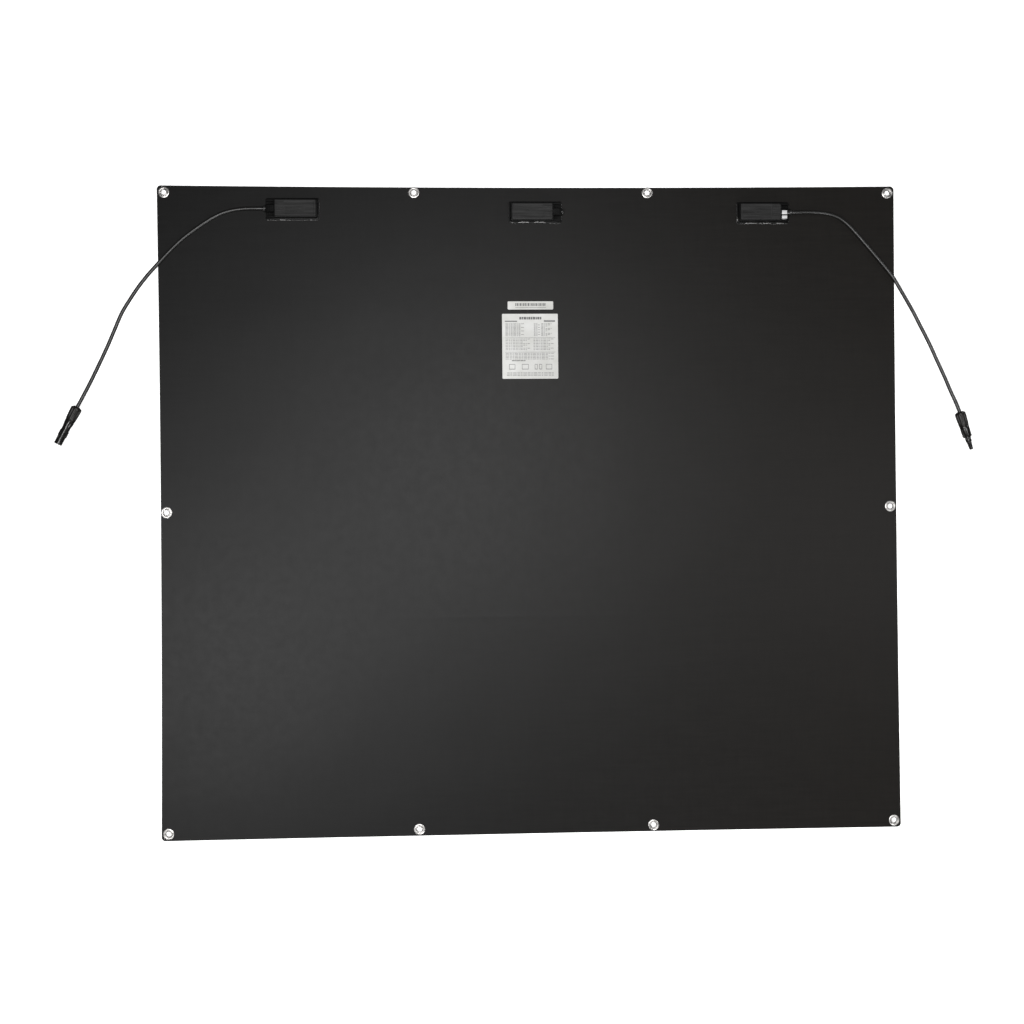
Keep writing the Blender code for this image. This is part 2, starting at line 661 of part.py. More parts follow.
def female_body_profile():
    contact_hole = PIN_R + GAP
    return tail_profile() + [
        (FINGER_START - GAP, COLLAR_R), (FINGER_START - GAP, CORE_R), (PROBE_START + 8 * MM, PROBE_R),
        (FEMALE_LENGTH - 1 * MM, PROBE_R), (FEMALE_LENGTH, PROBE_R - 0.5 * MM),
        (FEMALE_LENGTH, contact_hole), (WEB[0] - 2.5 * MM, contact_hole), (WEB[0] - 2.5 * MM, TAIL_BORE_R),
    ]


def male_contact_profile():
    return [
        (CRIMP[0], 0), (CRIMP[0], CRIMP_R), (CRIMP[1], CRIMP_R), (CRIMP[1], PIN_R),
        (PIN_TIP - 1.5 * MM, PIN_R), (PIN_TIP, 1.0 * MM), (PIN_TIP, 0),
    ]


def female_contact_profile():
    crimp_end = CRIMP[1] - 1 * MM
    mouth = FEMALE_LENGTH - 1 * MM
    socket_r = 1.5 * MM
    return [
        (CRIMP[0], 0), (CRIMP[0], CRIMP_R), (crimp_end, CRIMP_R), (crimp_end, PIN_R),
        (mouth, PIN_R), (mouth, socket_r), (mouth - 12 * MM, socket_r), (mouth - 12 * MM, 0),
    ]


def build_connector(side, back, axis, body_profile, contact_profile):
    """The pieces of one cable connector, all turned about its axis."""
    place = empty(f"{side}_connector_place", (*back, CONNECTOR_Z), math.atan2(axis.y, axis.x))
    for part, profile, steps, surface in (
        ("connector_body", body_profile, SEGMENTS, CONNECTOR_PLASTIC),
        ("cap_nut", nut_profile(), SEGMENTS, NUT_PLASTIC),
        ("cable_seal", seal_profile(), SMALL_SEGMENTS, SEAL_RUBBER),
        ("contact", contact_profile, SMALL_SEGMENTS, TINNED_COPPER),
    ):
        add(f"{side}_{part}", turned(profile, steps, "X"), surface, place, smooth=True)
    return place


def build_latch_fingers(place):
    """Two sprung fingers beside the probe; each turns about Z at its root."""
    for name, sign in (("a", 1), ("b", -1)):
        inner = 0.0
        outline = [
            (0.0, inner), (FINGER_LENGTH, inner), (FINGER_LENGTH, inner + 1.2 * MM),
            (FINGER_LENGTH - 3.2 * MM, inner + FINGER_T + 0.7 * MM),
            (FINGER_LENGTH - 3.6 * MM, inner + FINGER_T), (0.0, inner + FINGER_T),
        ]
        finger = prism([(u, sign * v) for u, v in outline], -FINGER_W / 2, FINGER_W / 2)
        add(
            f"right_latch_finger_{name}", finger, CONNECTOR_PLASTIC, place,
            (FINGER_START, sign * FINGER_INNER, 0),
        )


def build_o_ring(place):
    middle_r = PROBE_R + GAP + O_RING_R
    section = [(O_RING_U + u, middle_r + v) for u, v in circle(O_RING_R, 6)]
    add("right_o_ring", turned(section, SEGMENTS, "X"), SEAL_RUBBER, place, smooth=True)


build_films()
build_cell_strings()
build_buses()
build_eyelets()
for box_side in BOXES:
    build_box(box_side)
build_labels()
build_cable("left_lead", LEFT_ROUTE, LEFT_AXIS)
build_cable("right_lead", RIGHT_ROUTE, RIGHT_AXIS)
build_connector("left", LEFT_CONNECTOR, LEFT_AXIS, male_body_profile(), male_contact_profile())
right_place = build_connector(
    "right", RIGHT_CONNECTOR, RIGHT_AXIS, female_body_profile(), female_contact_profile()
)
build_latch_fingers(right_place)
build_o_ring(right_place)
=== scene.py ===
"""Looks of a flexible solar sheet that lies on its front face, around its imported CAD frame.

Lengths are in millimetres, and build() turns them into metres. A junction box has its own axes:
x towards its cable port, z up from its flange's underside. A connector has its own too: x runs
from its nut's back face to its mating end. Only the leads' routes and the camera have places here;
the rest take theirs from the frame.
"""
from itertools import cycle, product
from math import atan2, copysign, cos, exp, hypot, pi, radians, remainder, sin, sqrt

import bmesh
import bpy
from mathutils import Matrix, Vector, noise


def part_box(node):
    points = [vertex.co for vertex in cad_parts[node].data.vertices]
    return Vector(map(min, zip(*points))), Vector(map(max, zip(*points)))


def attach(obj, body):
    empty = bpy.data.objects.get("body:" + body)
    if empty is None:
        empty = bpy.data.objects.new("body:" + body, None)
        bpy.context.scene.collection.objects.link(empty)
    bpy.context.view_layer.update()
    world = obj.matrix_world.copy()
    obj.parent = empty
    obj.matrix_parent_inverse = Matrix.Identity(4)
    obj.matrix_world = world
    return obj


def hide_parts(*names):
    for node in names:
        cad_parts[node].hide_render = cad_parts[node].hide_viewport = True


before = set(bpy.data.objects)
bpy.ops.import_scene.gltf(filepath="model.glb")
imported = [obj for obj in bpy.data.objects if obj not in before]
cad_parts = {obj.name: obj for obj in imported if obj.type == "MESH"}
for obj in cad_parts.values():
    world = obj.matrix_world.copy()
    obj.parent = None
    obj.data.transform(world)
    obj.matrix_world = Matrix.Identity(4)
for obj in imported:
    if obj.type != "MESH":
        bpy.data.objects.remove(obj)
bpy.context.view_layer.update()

MM = 0.001
UP = Vector((0, 0, 1))

# ---- camera
CAMERA_PLACE = (-0.1334, -0.0192, 2.1739)
CAMERA_TURN = (0.433, -2.668, -0.55)  # degrees about X, Y and Z
CAMERA_VIEW = 40  # degrees across the picture

# ---- leads
CABLE_R = 2.75
CABLE_STEP = 4  # between the points of a lead's curve
CABLE_INSET = 15.7  # cable inside its connector
ROUTES = {  # out of the port, over the sheet's edge, along the floor
    "left": (
        (-410, 464.5, 8.1), (-420, 464.5, 8), (-433, 464.6, 7.1), (-446, 463.8, 6.2), (-460, 461.4, 5.9),
        (-474, 457, 5.9), (-488, 450, 5.9), (-503, 440.4, 5.9), (-518, 429.8, 5.9), (-534, 417.2, 5.9),
        (-552, 399.8, 5.9), (-568.5, 382, 5.9), (-584, 365, 5.3), (-598.7, 347.1, 4), (-612.2, 327.7, 3.1),
        (-625.5, 305.8, 3), (-636.5, 280.6, 3), (-647.6, 254.6, 3), (-659.7, 228.5, 3.4),
        (-671.5, 203.2, 5), (-681.5, 182.6, 7.4), (-687.5, 170.8, 8.4), (-692.2, 161.9, 8.6),
    ),
    "right": (
        (408.5, 459, 8.1), (419, 459.2, 8), (432, 459.8, 7.1), (446, 459.6, 6.2), (460, 458.4, 5.9),
        (473, 455.6, 5.9), (485.5, 449.8, 5.9), (497.5, 440.4, 5.9), (509, 428.4, 5.9), (521, 414.6, 5.9),
        (533, 400.6, 5.9), (545, 386.4, 5.9), (557, 372, 5.9), (569, 356.6, 5.9), (579.8, 338.6, 5.4),
        (591.1, 319.9, 4.1), (601.1, 302.6, 3.2), (609.9, 285.2, 3), (624.5, 256.4, 3), (637.6, 227, 3.4),
        (647.9, 202.8, 5), (657, 179, 7.4), (664.1, 162.6, 8.4), (670.4, 146.4, 8.6),
    ),
}
CONNECTOR_AXIS = {
    "left": Vector((-29.7, -55.8, 0)).normalized(),
    "right": Vector((18.1, -58.4, 0)).normalized(),
}

# ---- the laminate
FILM_SPACING = 13  # of the films' grid lines
SHEET_CORNER_R = 6
RIM_LINES = (0.9, 1.8, 2.7, 3.6, 4.8)  # grid lines beside the sheet's edge
SEALED_RIM = 1.8  # inside it, a sealed layer is only as thick as SEALED_SKIN
SEALED_SKIN = 0.35
BORDER_DEPTH = 3.6
HOLE_R = 5.3
HOLE_LINES = (-5.3, -1.9, 1.9, 5.3)
SLOT_HALF = (1.5, 3.6)  # of a slot that a ribbon rises through
BORDER_IN = {"left": 2.6, "right": 1.4, "top": 2.9, "bottom": 0.8}  # how far a side bows inwards
WAVE = 0.5  # height of the laminate's slow waves
CREASE_Y = -165
CREASE_LINES = (-9, -5, -2, 0, 2, 5, 9)
FIXED_REACH = (22, 120)  # the waves start this far from an eyelet, box or label

# ---- cells
COLUMNS = 6
CELLS = 10
CELL_W = 182
CELL_H = 91
CELL_PITCH = 92.5
CELL_CHAMFER = 2.2
WIRES = 10
WIRE_W = 0.35

# ---- boxes; a shape is (x from, x to, half width, corner radius)
SIDES = {"left": -1, "middle": 1, "right": 1}  # the x direction that each box's port faces
RIBBON_X = 12  # of a box's two ribbons, from its middle
FLANGE = (-36, 46.2, 17, 3)
WALL = (-33, 33, 14, 2)
CAVITY = (-30, 30, 11, 1.5)
LID = (-31, 31, 12.25, 1.6)
SKIRT = (-29.7, 29.7, 10.7, 1.2)
PANEL = (-28.6, 17, 10.1, 1.2)
POTTING = (29.6, 10.6)  # half its length and width
WALL_TOP = 9.5
LID_UNDER = 9.8
LID_TOP = 12.1
PORT_Z = 5
SWELLS = {  # of the sealant: how far they climb inwards, and (x, y, reach, size) of each
    "left": (0.7, ((-25, -17, 5, 0.7), (21, -17, 8, 0.8), (44, -10, 4, 0.3))),
    "middle": (1.9, ((-31, -16, 3, 1), (-13, -17, 11, 1.2), (13, -17, 12, 1.2))),
    "right": (1.1, ((-35, -10, 4, 1.3), (-14, -17, 11, 1.2), (10, -17, 13, 1), (33, -17, 8, 1.1),
                    (46, -14, 4, 0.8))),
}
GLANDS = {  # piece, and the node that it stands for
    "left": ("gland_collar", "cable_gland"),
    "middle": ("blank_plug", "box_blank_plug"),
    "right": ("gland_collar", None),
}


# ---- small tools for geometry
def millimetres(node):
    """Low and high corners of a CAD node, in millimetres."""
    low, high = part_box(node)
    return low / MM, high / MM


def middle_of(node):
    return sum(millimetres(node), Vector()) / 2


def spaced(low, high, count):
    return [low + (high - low) * k / count for k in range(count + 1)]


def around(steps):
    """Angles of a whole turn, without its end."""
    return spaced(0, 2 * pi, steps)[:-1]


def smoothstep(low, high, value):
    t = min(1, max(0, (value - low) / (high - low)))
    return t * t * (3 - 2 * t)


def arc(centre, radius, start, end, steps):
    """Points (across, up) on an arc, from one angle to another in degrees."""
    turns = [radians(angle) for angle in spaced(start, end, steps)]
    return [(centre[0] + radius * cos(t), centre[1] + radius * sin(t)) for t in turns]


def outline(x_low, x_high, half_y, radius, z, y=0, steps=5):
    """A level rectangle with round corners."""
    points = []
    for quarter in range(4):
        middle_x = x_high - radius if quarter in (0, 3) else x_low + radius
        middle_y = y + (half_y - radius if quarter < 2 else radius - half_y)
        quarter_arc = arc((middle_x, middle_y), radius, 90 * quarter, 90 * quarter + 90, steps)
        points += [Vector((*point, z)) for point in quarter_arc]
    return points


def inset_rings(shape, *steps):
    """Level outlines inside a shape, each (inset, z)."""
    x_low, x_high, half_y, radius = shape
    return [
        outline(x_low + d, x_high - d, half_y - d, min(max(0.3, radius - d), half_y - d), z)
        for d, z in steps
    ]


def level_cap(shape, inset, z):
    """Rings across a level face, so that its shading stays even up to its border."""
    insets = (inset + share * (shape[2] - inset) for share in (0.03, 0.1, 0.3, 0.6, 0.95))
    return inset_rings(shape, *((deeper, z) for deeper in insets))


def loft(bm, rings, closed=False):
    """Skins rings of one length, with flat ends, or as an endless loop if closed."""
    rows = [[bm.verts.new(point) for point in ring] for ring in rings]
    count = len(rows[0])
    for a, b in zip(rows, rows[1:] + rows[:1] if closed else rows[1:]):
        for k in range(count):
            after = (k + 1) % count
            bm.faces.new((a[k], a[after], b[after], b[k]))
    if not closed:
        bm.faces.new(rows[0][::-1])
        bm.faces.new(rows[-1])
    return bm


def lathe(profile, steps, closed=False, shape=None):
    """Turns (x, radius) points about the X axis. shape(x, radius, angle) may change a radius."""
    rings = []
    for x, radius in profile:
        turns = [(shape(x, radius, t) if shape else radius, t) for t in around(steps)]
        rings.append([(x, r * cos(t), r * sin(t)) for r, t in turns])
    return loft(bmesh.new(), rings, closed)


def tube(centres, radii, sides, closed=False, flat=1):
    """A tube along points, with its half width at each; flat is its height over its width."""
    rings = []
    last = len(centres) - 1
    for k, (centre, r) in enumerate(zip(centres, radii)):
        if closed:
            ahead = centres[(k + 1) % len(centres)] - centres[k - 1]
        else:
            ahead = centres[min(k + 1, last)] - centres[max(k - 1, 0)]
        across = ahead.cross(UP).normalized()
        above = across.cross(ahead).normalized() * flat
        rings.append([centre + across * (r * cos(t)) + above * (r * sin(t)) for t in around(sides)])
    return loft(bmesh.new(), rings, closed)


def strip(path, y_low, y_high, half, hang=lambda x, z: 0):
    """A ribbon bent along (x, z) points; hang(x, z) lets a point sink or rise."""
    rings = []
    for k, (x, z) in enumerate(path):
        ahead = Vector(path[min(k + 1, len(path) - 1)]) - Vector(path[max(k - 1, 0)])
        across = Vector((-ahead.y, ahead.x)).normalized() * half
        z += hang(x, z)
        ends = ((1, y_low), (1, y_high), (-1, y_high), (-1, y_low))
        rings.append([(x + sign * across.x, y, z + sign * across.y) for sign, y in ends])
    return loft(bmesh.new(), rings)


def blocks(bm, *rows, signs=(1,)):
    """Blocks of (x0, x1, y0, y1, z0, z1, lean), at y times each sign. The top is smaller by lean."""
    for sign in signs:
        for x0, x1, y0, y1, z0, z1, lean in rows:
            y0, y1 = sorted((sign * y0, sign * y1))
            rings = []
            for z, d in ((z0, 0), (z1, lean)):
                corners = ((x0 + d, y0 + d), (x1 - d, y0 + d), (x1 - d, y1 - d), (x0 + d, y1 - d))
                rings.append([(*corner, z) for corner in corners])
            loft(bm, rings)
    return bm


def shell(bm, place, kept):
    """A closed skin over a grid's kept squares. place(i, j, top) is a corner's point."""
    made = {}

    def corner(i, j, top):
        if (i, j, top) not in made:
            made[i, j, top] = bm.verts.new(place(i, j, top))
        return made[i, j, top]

    for i, j in kept:
        square = [(i, j), (i + 1, j), (i + 1, j + 1), (i, j + 1)]
        bm.faces.new([corner(*at, True) for at in square])
        bm.faces.new([corner(*at, False) for at in reversed(square)])
        for side, neighbour in enumerate([(i, j - 1), (i + 1, j), (i, j + 1), (i - 1, j)]):
            if neighbour not in kept:
                a, b = square[side], square[(side + 1) % 4]
                bm.faces.new((corner(*a, False), corner(*b, False), corner(*b, True), corner(*a, True)))
    return bm


def soften(bm, width, segments=1):
    """Rounds every sharp edge."""
    bmesh.ops.recalc_face_normals(bm, faces=bm.faces)
    sharp = [e for e in bm.edges if len(e.link_faces) == 2 and e.calc_face_angle() > radians(35)]
    bmesh.ops.bevel(
        bm, geom=sharp, offset=width, segments=segments, affect="EDGES", profile=0.5, clamp_overlap=True,
    )
    return bm


def mesh_of(bm, name):
    mesh = bpy.data.meshes.new(name)
    bm.to_mesh(mesh)
    bm.free()
    return mesh


def absorb(bm, *extras):
    """Takes other bmeshes into one."""
    for extra in extras:
        mesh = mesh_of(extra, "extra")
        bm.from_mesh(mesh)
        bpy.data.meshes.remove(mesh)
    return bm


def placed(name, data):
    made = bpy.data.objects.new(name, data)
    bpy.context.scene.collection.objects.link(made)
    return made


def declare(made, finish, node=None, body="sheet"):
    """Gives a piece its look, parents it to the CAD body it rides on and hides the CAD node it stands for."""
    look, slot = LOOKS[finish]
    made.data.materials.append(look)
    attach(made, body)
    if node:
        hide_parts(node)
    return made


def build(name, bm, finish, node=None, body="sheet", place=None, sharp=40):
    """Makes a piece of a bmesh in millimetres, at a place."""
    if place is not None:
        bm.transform(place)
    bm.transform(Matrix.Scale(MM, 4))
    bmesh.ops.recalc_face_normals(bm, faces=bm.faces)
    mesh = mesh_of(bm, name)
    mesh.shade_smooth()
    mesh.set_sharp_from_angle(angle=radians(sharp))
    return declare(placed(name, mesh), finish, node, body)


# ---- small tools for materials
class Look:
    """One material, built from short calls; every pattern is in the object's own space."""

    def __init__(self, name, shine=0.5, **sockets):
        self.material = bpy.data.materials.new(name)
        self.material.use_nodes = True
        self.tree = self.material.node_tree
        self.shader = self.tree.nodes["Principled BSDF"]
        self.space = self.tree.nodes.new("ShaderNodeTexCoord").outputs["Object"]
        for socket, value in {"Specular_IOR_Level": shine, **sockets}.items():
            self.shader.inputs[socket.replace("_", " ")].default_value = value

    def node(self, kind, inputs, **settings):
        made = self.tree.nodes.new(kind)
        for key, value in settings.items():
            setattr(made, key, value)
        for key, value in inputs.items():
            if isinstance(value, bpy.types.NodeSocket):
                self.tree.links.new(value, made.inputs[key])
            else:
                made.inputs[key].default_value = value
        return made

    def stretched(self, x=1, y=1, z=1, turn=0):
        inputs = {"Vector": self.space, "Scale": (x, y, z), "Rotation": (0, 0, turn)}
        return self.node("ShaderNodeMapping", inputs).outputs[0]

    def noise(self, size, detail=3, space=None, roughness=0.5):
        """Noise whose patches are about size millimetres across."""
        inputs = {"Vector": space or self.space, "Scale": 1000 / size, "Detail": detail}
        return self.node("ShaderNodeTexNoise", {**inputs, "Roughness": roughness}).outputs[0]

    def ridges(self, pitch, axis, distortion=0):
        inputs = {"Vector": self.space, "Scale": 1000 * pi / 10 / pitch, "Distortion": distortion}
        settings = {"wave_type": "BANDS", "bands_direction": axis, "wave_profile": "SIN"}
        return self.node("ShaderNodeTexWave", inputs, **settings).outputs["Fac"]

    def range(self, value, low, high, from_low=0.3, from_high=0.7):
        ends = {"From Min": from_low, "From Max": from_high, "To Min": low, "To Max": high}
        return self.node("ShaderNodeMapRange", {"Value": value, **ends}).outputs[0]

    def maths(self, operation, a, b):
        return self.node("ShaderNodeMath", {0: a, 1: b}, operation=operation).outputs[0]

    def blend(self, share, a, b, mode="MIX"):
        inputs = {0: share, 6: a, 7: b}
        return self.node("ShaderNodeMix", inputs, data_type="RGBA", blend_type=mode).outputs[2]

    def between(self, value, a, b, share=1):
        """From one colour up to a share of another, as a pattern's value rises."""
        return self.blend(self.range(value, 0, share), a, b)

    def edge(self):
        """1 along convex edges, 0 elsewhere."""
        point = self.node("ShaderNodeNewGeometry", {}).outputs["Pointiness"]
        return self.range(point, 0, 1, 0.51, 0.56)

    def lean(self):
        """1 where the surface leans, as a rounded rim does, 0 where it is level or upright."""
        normal = self.node("ShaderNodeNewGeometry", {}).outputs["Normal"]
        up = self.maths("ABSOLUTE", self.node("ShaderNodeSeparateXYZ", {0: normal}).outputs[2], 0)
        return self.maths("MULTIPLY", self.maths("MULTIPLY", up, 4), self.maths("SUBTRACT", 1, up))

    def finish(self, colour, rough, *bumps):
        """The material, of a colour, a roughness (a socket, or pattern, low, high) and bumps of
        (height, depth in millimetres), from the coarsest to the finest."""
        self.tree.links.new(colour, self.shader.inputs["Base Color"])
        rough = self.range(*rough) if isinstance(rough, tuple) else rough
        self.tree.links.new(rough, self.shader.inputs["Roughness"])
        normal = None
        for height, depth in bumps:
            below = {"Normal": normal} if normal else {}
            inputs = {"Height": height, "Distance": depth * MM, "Strength": 1, **below}
            normal = self.node("ShaderNodeBump", inputs).outputs[0]
        if normal:
            self.tree.links.new(normal, self.shader.inputs["Normal"])
        return self.material


def grey(level, warmth=0):
    """A linear grey, with a little more red and less blue for warmth."""
    return (level * (1 + warmth), level, level * (1 - warmth), 1)


# ---- materials
def moulded(
    name, level, roughness, warmth=0, grain=0.012, worn_and_sheen=1.3, dusty=0.03, streaky=0.14, boxy=False,
    **sockets,
):
    """Spark-eroded plastic: fine grain, flow marks along X, lighter edges and a little dust. Along convex
    edges the lighter tone is rubbed wear; with boxy it lies on leaning rims instead, partly wear and partly a
    painted sheen.
    """
    look = Look(name, **sockets)
    flow = look.noise(5, 4, look.stretched(0.1, 1.6, 1))
    tone = look.between(flow, grey(level * (1 - streaky), warmth), grey(level * (1 + streaky), warmth))
    # with boxy, surfaces that lean take the lighter tone: partly wear, partly a painted sheen on the rims
    edges = look.lean() if boxy else look.edge()
    wear_and_rim_sheen = look.maths("MULTIPLY", edges, look.range(look.noise(1.6, 2), 0.2, 0.9))
    tone = look.blend(wear_and_rim_sheen, tone, grey(level * worn_and_sheen + 0.002, warmth))
    dust = look.range(look.noise(1.3, 6, roughness=0.7), 0, dusty, 0.52, 0.8)
    colour = look.blend(dust, tone, grey(0.3, 0.03))
    rough = (look.noise(3.5, 4), roughness - 0.06, roughness + 0.08)
    return look.finish(colour, rough, (flow, 0.012), (look.noise(0.55, 2), grain))


def back_film_look():
    """Matt black textile-faced film: fine cross threads, soft streaks both ways."""
    look = Look("back_film_textile", shine=0.105)
    weft = look.noise(5, 4, look.stretched(0.1, 1.5, 1), 0.6)
    warp = look.noise(6, 4, look.stretched(1.5, 0.14, 1), 0.6)
    mottle = look.noise(14, 5, roughness=0.6)
    speckle = look.noise(1.2, 2)
    level = look.maths("ADD", look.range(weft, 0.88, 1.12), look.range(warp, -0.08, 0.08))
    level = look.maths("ADD", level, look.range(speckle, -0.08, 0.08))
    warm = look.range(look.node("ShaderNodeSeparateXYZ", {0: look.space}).outputs[0], 0, 1, -0.2, 0.5)
    tone = look.blend(warm, grey(0.0045, 0.01), grey(0.005, 0.14))
    colour = look.blend(1, tone, level, "MULTIPLY")
    threads = look.maths("ADD", look.ridges(0.9, "X", 0.6), look.ridges(0.9, "Y", 0.6))
    rough = look.maths("ADD", look.range(mottle, 0.405, 0.435), look.range(weft, -0.008, 0.008))
    bumps = ((mottle, 0.01), (weft, 0.01), (warp, 0.008), (threads, 0.006), (speckle, 0.006))
    return look.finish(colour, rough, *bumps)


def clear_look(name, level, alpha, roughness):
    """A clear polymer layer with slow ripples from the laminating press."""
    look = Look(name, Alpha=alpha, IOR=1.49)
    ripple = look.noise(14, 3)
    colour = look.between(ripple, grey(level), grey(level * 0.92, -0.02))
    rough = (look.noise(4, 3), roughness - 0.04, roughness + 0.06)
    return look.finish(colour, rough, (ripple, 0.06), (look.noise(0.8, 2), 0.012))


def cell_look():
    """Dark blue silicon with fine printed fingers across each cell."""
    look = Look("silicon", Coat_Weight=0.6, Coat_Roughness=0.08)
    blue = look.between(look.noise(30, 4), (0.004, 0.006, 0.018, 1), (0.01, 0.014, 0.036, 1))
    fingers = look.range(look.ridges(1.5, "Y"), 0, 0.6, 0.97, 0.995)
    rough = (look.noise(5, 3), 0.2, 0.32)
    bumps = ((fingers, 0.015), (look.noise(0.4, 2), 0.006))
    return look.finish(look.blend(fingers, blue, grey(0.42)), rough, *bumps)


def metal_look(name, colour, roughness, scratch=0.006, stained=0.5, drawn=1):
    """Drawn or rolled metal: fine turning lines, small scratches and darker stains."""
    look = Look(name, Metallic=1)
    stain = look.range(look.noise(2.2, 5, roughness=0.65), 0, 0.75, 0.45, 0.75)
    dark = (*(channel * stained for channel in colour[:3]), 1)
    lines = look.noise(0.5, 3, look.stretched(0.12, 1, 1, 0.6))
    rough = (lines, roughness - 0.08 * drawn, roughness + 0.14 * drawn)
    bumps = ((look.noise(1.4, 3), 0.035 * drawn), (lines, scratch))
    return look.finish(look.blend(stain, colour, dark), rough, *bumps)


def label_look():
    """Satin white polymer film, a little yellowed and scuffed."""
    look = Look("label_satin", Coat_Weight=0.15, Coat_Roughness=0.3)
    cloud = look.noise(18, 4)
    paper = look.between(cloud, (0.375, 0.375, 0.355, 1), (0.43, 0.43, 0.42, 1))
    scuff = look.range(look.noise(1.5, 5, look.stretched(0.5, 1.4, 1, 0.5), 0.7), 0, 0.5, 0.62, 0.8)
    colour = look.blend(scuff, paper, grey(0.4, 0.03))
    return look.finish(colour, (look.noise(6, 4), 0.38, 0.52), (cloud, 0.1), (look.noise(1, 2), 0.008))


def ink_look(name, level):
    """Thermal-transfer print: thin, broken by the film's grain."""
    look = Look(name)
    gaps = look.range(look.noise(0.7, 3, roughness=0.7), 0, 0.55, 0.5, 0.75)
    colour = look.blend(gaps, grey(level), grey(0.45))
    return look.finish(colour, (look.noise(2, 2), 0.4, 0.58), (gaps, 0.004))


def jacket_look():
    """Cross-linked cable jacket: satin black, faint draw lines, chalky scuffs."""
    look = Look("cable_jacket_satin", shine=0.42)
    lines = look.noise(1.4, 3, look.stretched(1, 0.16, 1, 0.5))
    chalk = look.range(look.noise(5, 6, roughness=0.75), 0, 0.025, 0.56, 0.8)
    colour = look.blend(chalk, look.between(lines, grey(0.003), grey(0.006, 0.06)), grey(0.28, 0.03))
    return look.finish(colour, (look.noise(8, 4), 0.32, 0.42), (look.noise(16, 2), 0.04), (lines, 0.01))


def silicone_look():
    """Skinned-over black sealant: wet-looking highlights on a lumpy surface."""
    look = Look("sealant", shine=0.55, Coat_Weight=0.4, Coat_Roughness=0.22)
    lumps = look.noise(3, 4)
    colour = look.between(lumps, grey(0.018), grey(0.04, 0.04))
    return look.finish(colour, (look.noise(1.2, 3), 0.22, 0.4), (lumps, 0.35), (look.noise(0.9, 3), 0.05))


def rubber_look():
    """Moulded seal rubber, matt with a talc bloom."""
    look = Look("seal_rubber_matt", Sheen_Weight=0.15)
    bloom = look.noise(1, 4)
    colour = look.between(bloom, grey(0.016), grey(0.06), 0.6)
    return look.finish(colour, (bloom, 0.62, 0.8), (bloom, 0.02))


LOOKS = {  # material, and the record's material slot
    "back_film": (back_film_look(), "back_film"),
    "front_film": (clear_look("front_film_clear", 0.02, 0.2, 0.3), "front_film"),
    "encapsulant": (clear_look("encapsulant_clear", 0.03, 0.06, 0.2), "encapsulant"),
    "cell": (cell_look(), "silicon_cell"),
    "wire": (metal_look("wire_tinned", (0.62, 0.62, 0.6, 1), 0.34), "tinned_copper"),
    "ribbon": (metal_look("ribbon_tinned", (0.66, 0.65, 0.63, 1), 0.32), "tinned_copper"),
    "copper": (
        metal_look("terminal_copper", (0.84, 0.44, 0.27, 1), 0.42, scratch=0.0004, stained=0.75, drawn=0.25),
        "copper",
    ),
    "solder": (metal_look("solder", (0.6, 0.6, 0.61, 1), 0.26, stained=0.6), "tinned_copper"),
    "eyelet": (metal_look("eyelet_nickel", (0.42, 0.41, 0.4, 1), 0.34, 0.02, 0.3), "eyelet_steel"),
    # base plastic much darker than the lid: partly its own colour, partly painted shade for the contact
    # shadow round each box
    "box": (moulded("box_plastic_dark_and_painted_shade", 0.0025, 0.34, dusty=0.01, boxy=True, shine=0.08), "box_plastic"),
    # the lid's leaning rims get a strong lighter tone: partly wear, partly a painted sheen
    "lid": (
        moulded("lid_plastic_satin", 0.015, 0.42, worn_and_sheen=2.4, streaky=0.45, boxy=True, shine=0.09),
        "lid_plastic",
    ),
    "plug": (moulded("plug_plastic_gloss", 0.008, 0.26, shine=0.35), "plug_plastic"),
    # pale grey of the right port's clamp: a painted highlight
    "clamp": (moulded("clamp_plastic_pale_painted_highlight", 0.42, 0.38, worn_and_sheen=1.1, grain=0.008), "clamp_plastic"),
    "diode": (moulded("diode_epoxy", 0.014, 0.45, dusty=0.05), "diode_plastic"),
    "potting": (moulded("potting_gel", 0.012, 0.22, grain=0.004), None),
    "connector": (
        moulded("connector_plastic_gloss", 0.003, 0.22, 0.08, grain=0.006, dusty=0.01, shine=0.4),
        "connector_plastic",
    ),
    "nut": (moulded("nut_plastic_satin", 0.004, 0.34, 0.15, dusty=0.02, shine=0.25), "nut_plastic"),
    "jacket": (jacket_look(), "cable_jacket"),
    "sealant": (silicone_look(), None),
    "rubber": (rubber_look(), "seal_rubber"),
    "label": (label_look(), "label_film"),
    "ink": (ink_look("ink_dark", 0.035), "label_film"),
    "ink_grey": (ink_look("ink_grey", 0.08), "label_film"),
}


# ---- camera and leads
def add_camera():
    data = bpy.data.cameras.new("camera")
    data.angle = radians(CAMERA_VIEW)
    camera = placed("camera", data)
    camera.location = CAMERA_PLACE
    camera.rotation_euler = [radians(angle) for angle in CAMERA_TURN]
    bpy.context.scene.camera = camera


def smooth_route(points, step):
    """Points an even step apart on a Catmull-Rom curve through a route."""
    ends = [2 * points[0] - points[1], *points, 2 * points[-1] - points[-2]]
    dense = []
    for a, b, c, d in zip(ends, ends[1:], ends[2:], ends[3:]):
        for k in range(24):
            t = k / 24
            bend = (2 * a - 5 * b + 4 * c - d) * t * t + (3 * b - a - 3 * c + d) * t ** 3
            dense.append(0.5 * (2 * b + (c - a) * t + bend))
    dense.append(points[-1])
    even, gone = [dense[0]], 0
    for a, b in zip(dense, dense[1:]):
        gone += (b - a).length
        if gone >= step:
            even.append(b)
            gone = 0
    if (even[-1] - dense[-1]).length < step / 2:
        even.pop()
    return even + [dense[-1]]


